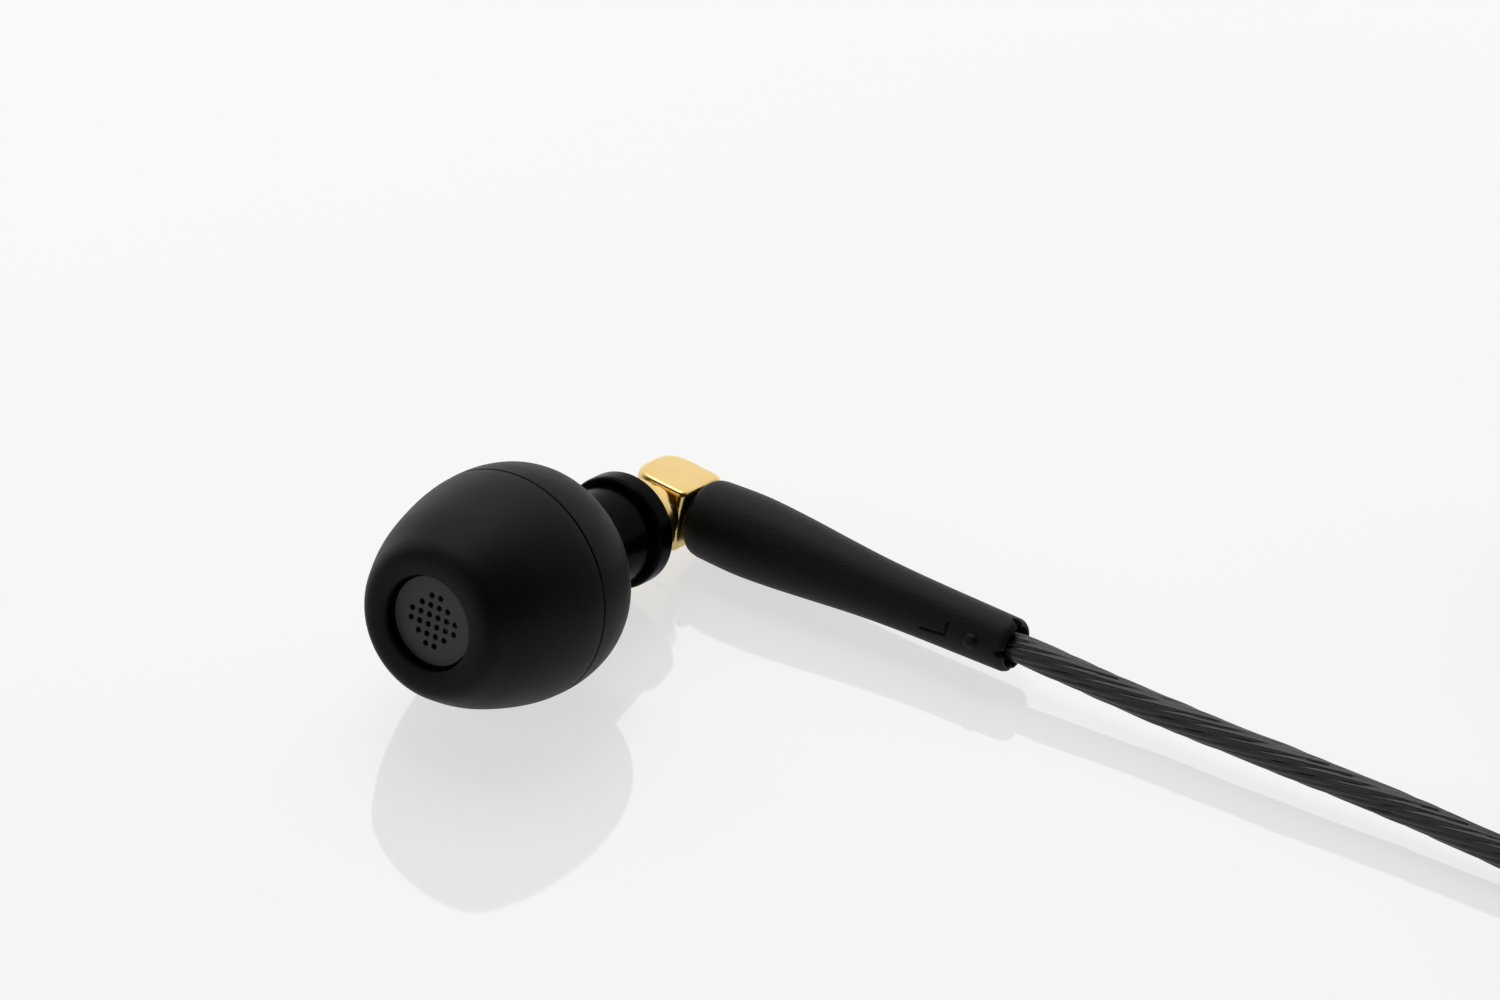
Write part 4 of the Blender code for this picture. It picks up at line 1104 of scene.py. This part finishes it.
class Cords:
    """The two branches and the main cord, with their routes as they lie."""

    def __init__(self, poses: dict[Side, Pose]) -> None:
        """Keeps the earpieces' poses, which say where the branches start."""
        self.poses = poses

    def mouth(self, side: Side, along: float) -> Array:
        """A point on a strain relief's axis, in layout millimetres."""
        pose = self.poses[side]
        return pose.origin + ORIGIN + pose.axes[0] * along

    def branch(self, side: Side) -> tuple[bpy.types.Object, Array, float]:
        """One branch, from its strain relief through its coil to the splitter.

        Args:
            side: which earpiece it belongs to.

        Returns:
            The cord, its ring centres and its length in metres.
        """
        slots = ladder((8.8, 7.2), (1.3, 2.9, 4.5, 6.1))
        start = [self.mouth(side, 21.95), self.mouth(side, 24.35)]
        if side is Side.LEFT:
            lead = [(21.24, -21.56, 1.98), (27.27, -25.65, 1.92), (33.1, -29.47, 1.79), (38.76, -33.47, 1.6),
                    (41.8, -35.62, 1.42)]
            coil = Winding((50.4, -30.9), slots, 234.8, 2555.2, False, 305.0, 325.0)
            tail = [(53.6, -39.68, 6.08), (56.8, -39.6, 5.9), (59.8, -39.2, 5.0), (62.6, -37.4, 3.8),
                    (64.8, -34.6, 2.8), (65.85, -31.9, 2.3), (65.85, -29.6, 2.2)]
            fine = 46.0
        else:
            start = [self.mouth(side, 21.95), self.mouth(side, 22.75)]
            lead = [(104.9, -24.8, 2.2), (104.9, -27.4, 1.75)]
            coil = Winding((96.1, -30.9), slots, 0.0, 2610.0, True, 325.0, 325.0)
            tail = [(92.9, -39.7, 6.08), (89.7, -39.7, 5.9), (84.5, -39.7, 4.6), (79.0, -39.5, 3.2),
                    (74.0, -38.4, 2.4), (70.4, -36.3, 2.1), (68.4, -33.6, 2.15), (67.95, -31.2, 2.2),
                    (67.95, -29.6, 2.2)]
            fine = 8.0
        route = np.vstack([np.array(start), np.array(lead), coil.points(), np.array(tail)])
        return TwistedCord(f"{side.value}_branch_cord", 0.8).make(route, fine, 0.2, 0.85)

    def main(self) -> tuple[bpy.types.Object, Array, float]:
        """The main cord, from the splitter through its coil to the plug.

        Returns:
            The cord, its ring centres and its length in metres.
        """
        coil = Winding((54.9, -8.0), ladder((12.0, 10.0, 8.0), (1.5, 3.5, 5.5, 7.5)), 0.0, 3870.0, False,
                       315.0, 330.0, 58.0)
        lead = [(66.9, -20.9, 2.2), (66.9, -19.0, 2.15), (66.9, -17.4, 1.95), (66.9, -15.0, 1.72),
                (66.9, -12.0, 1.55)]
        tail = [(59.0, -20.0, 7.5), (62.9, -20.0, 7.3), (65.5, -20.1, 6.8), (68.0, -19.5, 6.0),
                (70.0, -17.9, 4.9), (71.6, -16.0, 3.9), (73.2, -14.8, 3.15), (75.2, -14.5, 2.95),
                (78.0, -14.5, 2.95)]
        route = np.vstack([np.array(lead), coil.points(), np.array(tail)])
        return TwistedCord("main_twisted_cord", 1.0, 14, 18.0, around=56).make(route, 0.0, 0.5, 1.0)


def make_cords(poses: dict[Side, Pose], plug_pieces: list[str]) -> None:
    """Makes every cord and stands it in for its nodes.

    Args:
        poses: where both earpieces lie.
        plug_pieces: the names of the plug's pieces; not used.
    """
    cords = Cords(poses)
    for side in Side:
        made, path, length = cords.branch(side)
        name = side.value
        Workshop.stand_for(made, "cable_side", f"{name}_branch_lead", f"{name}_coil",
                           f"{name}_splitter_lead")
    made, path, length = cords.main()
    Workshop.stand_for(made, "cable_side", "main_splitter_lead", "main_coil", "main_plug_lead")


# ---------------------------------------------------------------- splitter, plug and straps


@dataclass(frozen=True)
class Splitter:
    """Moulded block where the two branches join the main cord, long along +Y."""

    start: tuple[float, float, float] = (66.9, -30.5, 2.2)
    length: float = 10.5
    half_width: float = 2.5
    half_height: float = 1.8
    squareness: float = 3.2
    groove_at: float = 7.6
    branch_r: float = 0.86
    branch_gap: float = 1.05
    main_r: float = 1.06

    def skin(self, rows: int, columns: int) -> Array:
        """Grid of points: superellipse rings |x/w|^n + |z/h|^n = 1 along the length.

        Both half sizes shrink by a lip towards each end, swell a little by a cosine between them, and
        dip at one narrow groove.

        Args:
            rows: rings along the length.
            columns: points round each ring.

        Returns:
            The points, ring by ring.
        """
        t = np.linspace(0.0, 1.0, rows)
        along = t * self.length
        edge = np.minimum(along, self.length - along)
        lip = 1.0 - 0.3 * np.clip(1.0 - edge / 0.9, 0.0, 1.0) ** 2.2
        waist = np.minimum(1.0 - 0.035 * np.cos((t - 0.5) * 2 * math.pi), 1.0)
        groove = 1.0 - 0.03 * np.exp(-((along - self.groove_at) / 0.12) ** 2)
        angle = np.arange(columns) * (2 * math.pi / columns)
        power = 2.0 / self.squareness
        ring_x = np.sign(np.cos(angle)) * np.abs(np.cos(angle)) ** power
        ring_z = np.sign(np.sin(angle)) * np.abs(np.sin(angle)) ** power
        return np.stack([np.outer(self.half_width * lip * waist * groove, ring_x),
                         np.repeat(along[:, None], columns, 1),
                         np.outer(self.half_height * lip * waist * groove, ring_z)], -1).reshape(-1, 3)

    def build(self) -> None:
        """Makes the block with sunk mouths for its three cords, and puts it in place."""
        rows, columns = 64, 96
        faces = grid_faces(rows, columns).tolist()
        last = (rows - 1) * columns
        faces += [list(range(columns))[::-1], [last + k for k in range(columns)]]
        pose = Pose(np.array(self.start) - ORIGIN, np.eye(3))
        body = add_mesh("moulded_splitter", pose.apply(self.skin(rows, columns)), faces, Look.MOULDED, 40)
        turn_faces_out(body)
        for radius, start, stop, shift in (
            (self.branch_r, -1.0, 1.2, -self.branch_gap),
            (self.branch_r, -1.0, 1.2, self.branch_gap),
            (self.main_r, self.length - 1.2, self.length + 1.0, 0.0),
        ):
            bore = bmesh.new()
            add_bore(bore, pose, 1, radius, start, stop, (shift, 0.0))
            carve(body, bore)
        Workshop.stand_for(body, "cable_side", "splitter")


@dataclass
class Plug:
    """3.5 mm three-pole plug lying along +X: ribbed tail, grooved grip and gold contacts."""

    start: tuple[float, float, float] = (74.5, -14.5, 2.95)
    pin_r: float = 1.75
    core_r: float = 0.6
    grip_r: float = 2.9
    groove_r: float = 2.74
    ribs: int = 4
    rib_step: float = 0.72
    made: list[str] = field(default_factory=list)

    def tail(self) -> list[tuple[float, float, float]]:
        """Corners of the strain relief behind the grip, with a groove under each rib."""
        corners = [(2.0, 3.45, 0.1)]
        for index in range(self.ribs):
            low = 2.95 - index * self.rib_step
            wide = 1.4 + 0.6 * (low / 3.45)
            corners += [(wide, low, 0.06), (wide - 0.22, low - 0.06, 0.05), (wide - 0.25, low - 0.3, 0.05),
                        (wide - 0.05, low - 0.36, 0.06)]
        return corners + [(1.36, 0.25, 0.1), (1.22, 0.0, 0.1), (1.05, 0.0, 0.05), (1.05, 3.45, 0.03)]

    def grip(self) -> list[tuple[float, float, float]]:
        """Corners of the turned grip, with a shallow groove towards each end."""
        wide, cut = self.grip_r, self.groove_r
        return [(1.25, 12.5, 0.05), (2.35, 12.5, 0.12), (2.88, 12.2, 0.3), (wide, 10.9, 0.05),
                (cut, 10.8, 0.05), (cut, 10.5, 0.05), (wide, 10.4, 0.05), (2.86, 7.5, 0.6),
                (wide, 5.4, 0.05), (cut, 5.3, 0.05), (cut, 5.0, 0.05), (wide, 4.9, 0.05), (2.88, 3.9, 0.3),
                (2.4, 3.5, 0.12), (1.05, 3.5, 0.05), (1.05, 9.95, 0.02), (1.25, 9.95, 0.02)]

    def sleeve(self) -> list[tuple[float, float, float]]:
        """Corners of the gold sleeve, whose narrower foot stands inside the grip."""
        return [(self.pin_r, 18.55, 0.05), (self.pin_r, 12.55, 0.08), (1.2, 12.55, 0.03), (1.2, 10.0, 0.03),
                (self.core_r, 10.0, 0.03), (self.core_r, 18.55, 0.03)]

    def band(self, low: float, high: float) -> list[tuple[float, float, float]]:
        """Corners of one ring round the pin's core."""
        return [(self.pin_r, high, 0.04), (self.pin_r, low, 0.04), (self.core_r, low, 0.03),
                (self.core_r, high, 0.03)]

    def point(self) -> list[tuple[float, float, float]]:
        """Corners of the gold point: cone, snap groove, shoulder and the core behind it."""
        return [(0.0, 26.15, 0), (0.42, 26.12, 0.15), (1.05, 25.45, 0.3), (1.63, 24.75, 0.15),
                (self.pin_r, 24.4, 0.2), (1.66, 24.0, 0.3), (1.26, 23.45, 0.3), (1.7, 22.55, 0.2),
                (1.71, 22.15, 0.05), (0.55, 22.15, 0.02), (0.55, 10.0, 0.03), (0.0, 10.0, 0)]

    def build(self) -> list[str]:
        """Makes the plug's pieces and returns their names."""
        lie = Pose(np.array(self.start) - ORIGIN, np.array([[0, 1, 0], [0, 0, 1], [1, 0, 0]], float))
        for name, profile, look, node in (
            ("plug_ribbed_tail", self.tail(), Look.RUBBER, "plug_tail"),
            ("plug_turned_grip", self.grip(), Look.MOULDED, "plug_grip"),
            ("plug_gold_sleeve", self.sleeve(), Look.GOLD, "plug_sleeve"),
            ("plug_rear_band", self.band(18.6, 19.3), Look.MOULDED, "plug_rear_insulator"),
            ("plug_gold_ring", self.band(19.35, 21.35), Look.GOLD, "plug_ring_contact"),
            ("plug_front_band", self.band(21.4, 22.1), Look.MOULDED, "plug_front_insulator"),
            ("plug_gold_point", self.point(), Look.GOLD, "plug_tip_contact"),
        ):
            closed = profile[0][0] > 0
            piece = revolve(name, dense(filleted(profile, closed), closed, 0.7), lie, look, 96)
            Workshop.stand_for(piece, "cable_side", node)
            self.made.append(piece.name)
        return self.made


@dataclass(frozen=True)
class Strap:
    """A hook-and-loop strap closed round one side of a coil."""

    name: str
    centre: tuple[float, float]
    middle: float
    cord_r: float
    columns: int
    layers: int
    angle_deg: float
    half_width: float = 2.5
    thick: float = 0.35
    clearance: float = 0.08

    def make(self) -> None:
        """Builds the strap: a flat band that follows a rounded loop, stitched along both edges."""
        half = self.columns * self.cord_r
        near = math.sqrt((self.middle - half) ** 2 - self.half_width ** 2) - self.clearance
        far = self.middle + half + self.clearance
        low, high = 0.42, 0.5 + self.layers * 2 * self.cord_r + self.clearance
        wide, mid = self.half_width, self.thick / 2
        loop = filleted([(near - mid, low - mid, 0.55), (far + mid, low - mid, 0.55),
                         (far + mid, high + mid, 0.55), (near - mid, high + mid, 0.55)], True, 9)
        loop = dense(loop, True, 0.22)
        ahead = np.roll(loop, -1, 0) - np.roll(loop, 1, 0)
        normal = np.stack([ahead[:, 1], -ahead[:, 0]], -1) / np.linalg.norm(ahead, axis=1)[:, None]
        section = filleted([(-wide, mid, 0.12), (wide, mid, 0.12), (wide, -mid, 0.12), (-wide, -mid, 0.12)],
                           True, 4)
        section = dense(section, True, 0.25)
        rows = len(loop)
        across = np.repeat(section[None, :, 0], rows, 0)
        out = np.repeat(section[None, :, 1], rows, 0)
        stitch = np.abs(np.abs(across) - 2.15) < 0.14
        beat = np.sin(np.arange(rows)[:, None] * 1.35)
        out = out - np.where(stitch & (out > 0), 0.035 + 0.025 * beat, 0.0)
        radial = loop[:, None, 0] + normal[:, None, 0] * out
        height = loop[:, None, 1] + normal[:, None, 1] * out
        turn = math.radians(self.angle_deg)
        ray = np.array([math.cos(turn), math.sin(turn)])
        cross = np.array([-math.sin(turn), math.cos(turn)])
        points = np.stack([
            self.centre[0] + ray[0] * radial + cross[0] * across,
            self.centre[1] + ray[1] * radial + cross[1] * across,
            height,
        ], -1).reshape(-1, 3)
        faces = grid_faces(rows, len(section), True)
        made = add_mesh(f"{self.name}_fabric_strap", (points - ORIGIN) * MM, faces, Look.STRAP, 50)
        turn_faces_out(made)
        Workshop.stand_for(made, "cable_side", f"{self.name}_coil_strap")


# ---------------------------------------------------------------- stage


def make_camera() -> None:
    """Long lens from in front and above, at about 36 degrees down."""
    data = bpy.data.cameras.new("camera")
    data.lens, data.sensor_width = 192.0, 36.0
    data.clip_start, data.clip_end = 0.01, 20.0
    camera = bpy.data.objects.new("camera", data)
    bpy.context.scene.collection.objects.link(camera)
    pitch, distance = math.radians(35.55), 0.4418
    target = Vector((-ORIGIN[0], -ORIGIN[1], 0.0)) * MM
    camera.location = target + Vector((0.0, -math.cos(pitch), math.sin(pitch))) * distance
    camera.rotation_euler = (math.pi / 2 - pitch, 0.0, 0.0)
    bpy.context.scene.camera = camera


def make_floor() -> None:
    """Glossy near-white floor with a soft mirror and a faint drift in its tone."""
    mesh = bpy.data.meshes.new("floor")
    half, level = 3.0, -0.00002
    corners = [(-half, -half, level), (half, -half, level), (half, half, level), (-half, half, level)]
    mesh.from_pydata(corners, [], [(0, 1, 2, 3)])
    floor = bpy.data.objects.new("floor", mesh)
    bpy.context.scene.collection.objects.link(floor)
    bench = Bench("floor_acrylic")
    drift = bench.noise(9.0, 2.0)
    bench.set(Base_Color=bench.mix(drift, (0.19, 0.19, 0.186), (0.21, 0.21, 0.206)),
              Emission_Color=bench.mix(drift, (0.985, 0.99, 0.995), (1.0, 1.0, 1.0)), Emission_Strength=0.66,
              Roughness=(drift - 0.5) * 0.02 + 0.05, IOR=1.75)
    mesh.materials.append(bench.material)


@dataclass(frozen=True)
class Softbox:
    """One soft rectangular light: where it hangs, what it faces, its size and its power."""

    name: str
    place: tuple[float, float, float]
    size: tuple[float, float]
    power: float
    colour: tuple[float, float, float] = (1.0, 1.0, 1.0)
    aim: tuple[float, float, float] = (-0.04, 0.0, 0.0)

    def make(self) -> None:
        """Adds the light."""
        data = bpy.data.lights.new(self.name, "AREA")
        data.shape = "RECTANGLE"
        data.size, data.size_y = self.size
        data.energy = self.power
        data.color = self.colour
        light = bpy.data.objects.new(self.name, data)
        bpy.context.scene.collection.objects.link(light)
        light.location = self.place
        way = Vector(self.aim) - Vector(self.place)
        light.rotation_euler = way.to_track_quat("-Z", "Y").to_euler()


SOFTBOXES = (
    Softbox("overhead", (-0.1, 0.35, 0.8), (0.6, 0.5), 2.5),
    Softbox("fill", (-0.42, -0.34, 0.3), (0.3, 0.3), 0.55),
)


def make_world() -> None:
    """Pale studio surround: a bright backdrop behind, falling off to a dark room in front."""
    world = bpy.data.worlds.new("surround")
    bpy.context.scene.world = world
    world.use_nodes = True
    tree = world.node_tree
    back = tree.nodes["Background"]
    place = tree.nodes.new("ShaderNodeTexCoord")
    split = tree.nodes.new("ShaderNodeSeparateXYZ")
    tree.links.new(place.outputs["Generated"], split.inputs[0])
    reach = tree.nodes.new("ShaderNodeMapRange")
    reach.inputs["From Min"].default_value = -1.0
    reach.inputs["From Max"].default_value = 1.0
    tree.links.new(split.outputs["Y"], reach.inputs["Value"])
    ramp = tree.nodes.new("ShaderNodeValToRGB")
    ramp.color_ramp.interpolation = "EASE"
    ramp.color_ramp.elements[0].position = 0.42
    ramp.color_ramp.elements[0].color = (0.02, 0.02, 0.021, 1.0)
    ramp.color_ramp.elements[1].position = 0.84
    ramp.color_ramp.elements[1].color = (1.0, 1.0, 1.0, 1.0)
    tree.links.new(reach.outputs["Result"], ramp.inputs[0])
    tree.links.new(ramp.outputs[0], back.inputs["Color"])
    back.inputs["Strength"].default_value = 1.25


def make_stage() -> None:
    """Floor, lights, surround and view settings."""
    make_floor()
    for box in SOFTBOXES:
        box.make()
    make_world()
    bpy.context.scene.view_settings.view_transform = "Standard"
    bpy.context.scene.view_settings.look = "None"


ELBOW_HEIGHT, CABLE_DROOP_DEG, REST_TILT_DEG = 2.5, 0.5, 13.24278


def earpiece_poses() -> dict[Side, Pose]:
    """Where both earpieces lie, from the same placing rule as the solid model.

    The cable side points along a heading and droops a little; the barrel stands level to its left, tilted
    up by the angle at which the ear tip's edge rests on the floor.

    Returns:
        Each side's frame: its elbow's centre, and the cable's, upper and barrel's directions.
    """
    poses = {}
    droop = math.radians(CABLE_DROOP_DEG)
    tilt = math.radians(REST_TILT_DEG)
    for side, elbow, heading in ((Side.LEFT, (-4.14, -3.79), -35.2), (Side.RIGHT, (104.9, -1.5), -90.0)):
        turn = math.radians(heading)
        out = np.array([math.cos(turn) * math.cos(droop), math.sin(turn) * math.cos(droop),
                        -math.sin(droop)])
        level = np.cross(out, (0.0, 0.0, 1.0))
        level /= np.linalg.norm(level)
        forward = level * math.cos(tilt) + np.array([0.0, 0.0, math.sin(tilt)])
        forward -= out * (forward @ out)
        forward /= np.linalg.norm(forward)
        poses[side] = Pose(np.array([*elbow, ELBOW_HEIGHT]) - ORIGIN,
                           np.array([out, np.cross(forward, out), forward]))
    return poses


def main() -> None:
    """Builds the whole scene."""
    Workshop.finishes = make_finishes()
    make_camera()
    poses = earpiece_poses()
    make_cords(poses, Plug().build())
    for side in Side:
        Earpiece(side, poses[side]).build()
    Splitter().build()
    for strap in (
        Strap("left", (50.4, -30.9), 8.0, 0.8, 2, 4, 20.0),
        Strap("right", (96.1, -30.9), 8.0, 0.8, 2, 4, 160.0),
        Strap("main", (54.9, -8.0), 10.0, 1.0, 3, 4, 150.0),
    ):
        strap.make()
    Workshop.dress_nodes()
    make_stage()


if __name__ == "__main__":
    logging.basicConfig(level=logging.WARNING, format="%(name)s: %(message)s")
    main()
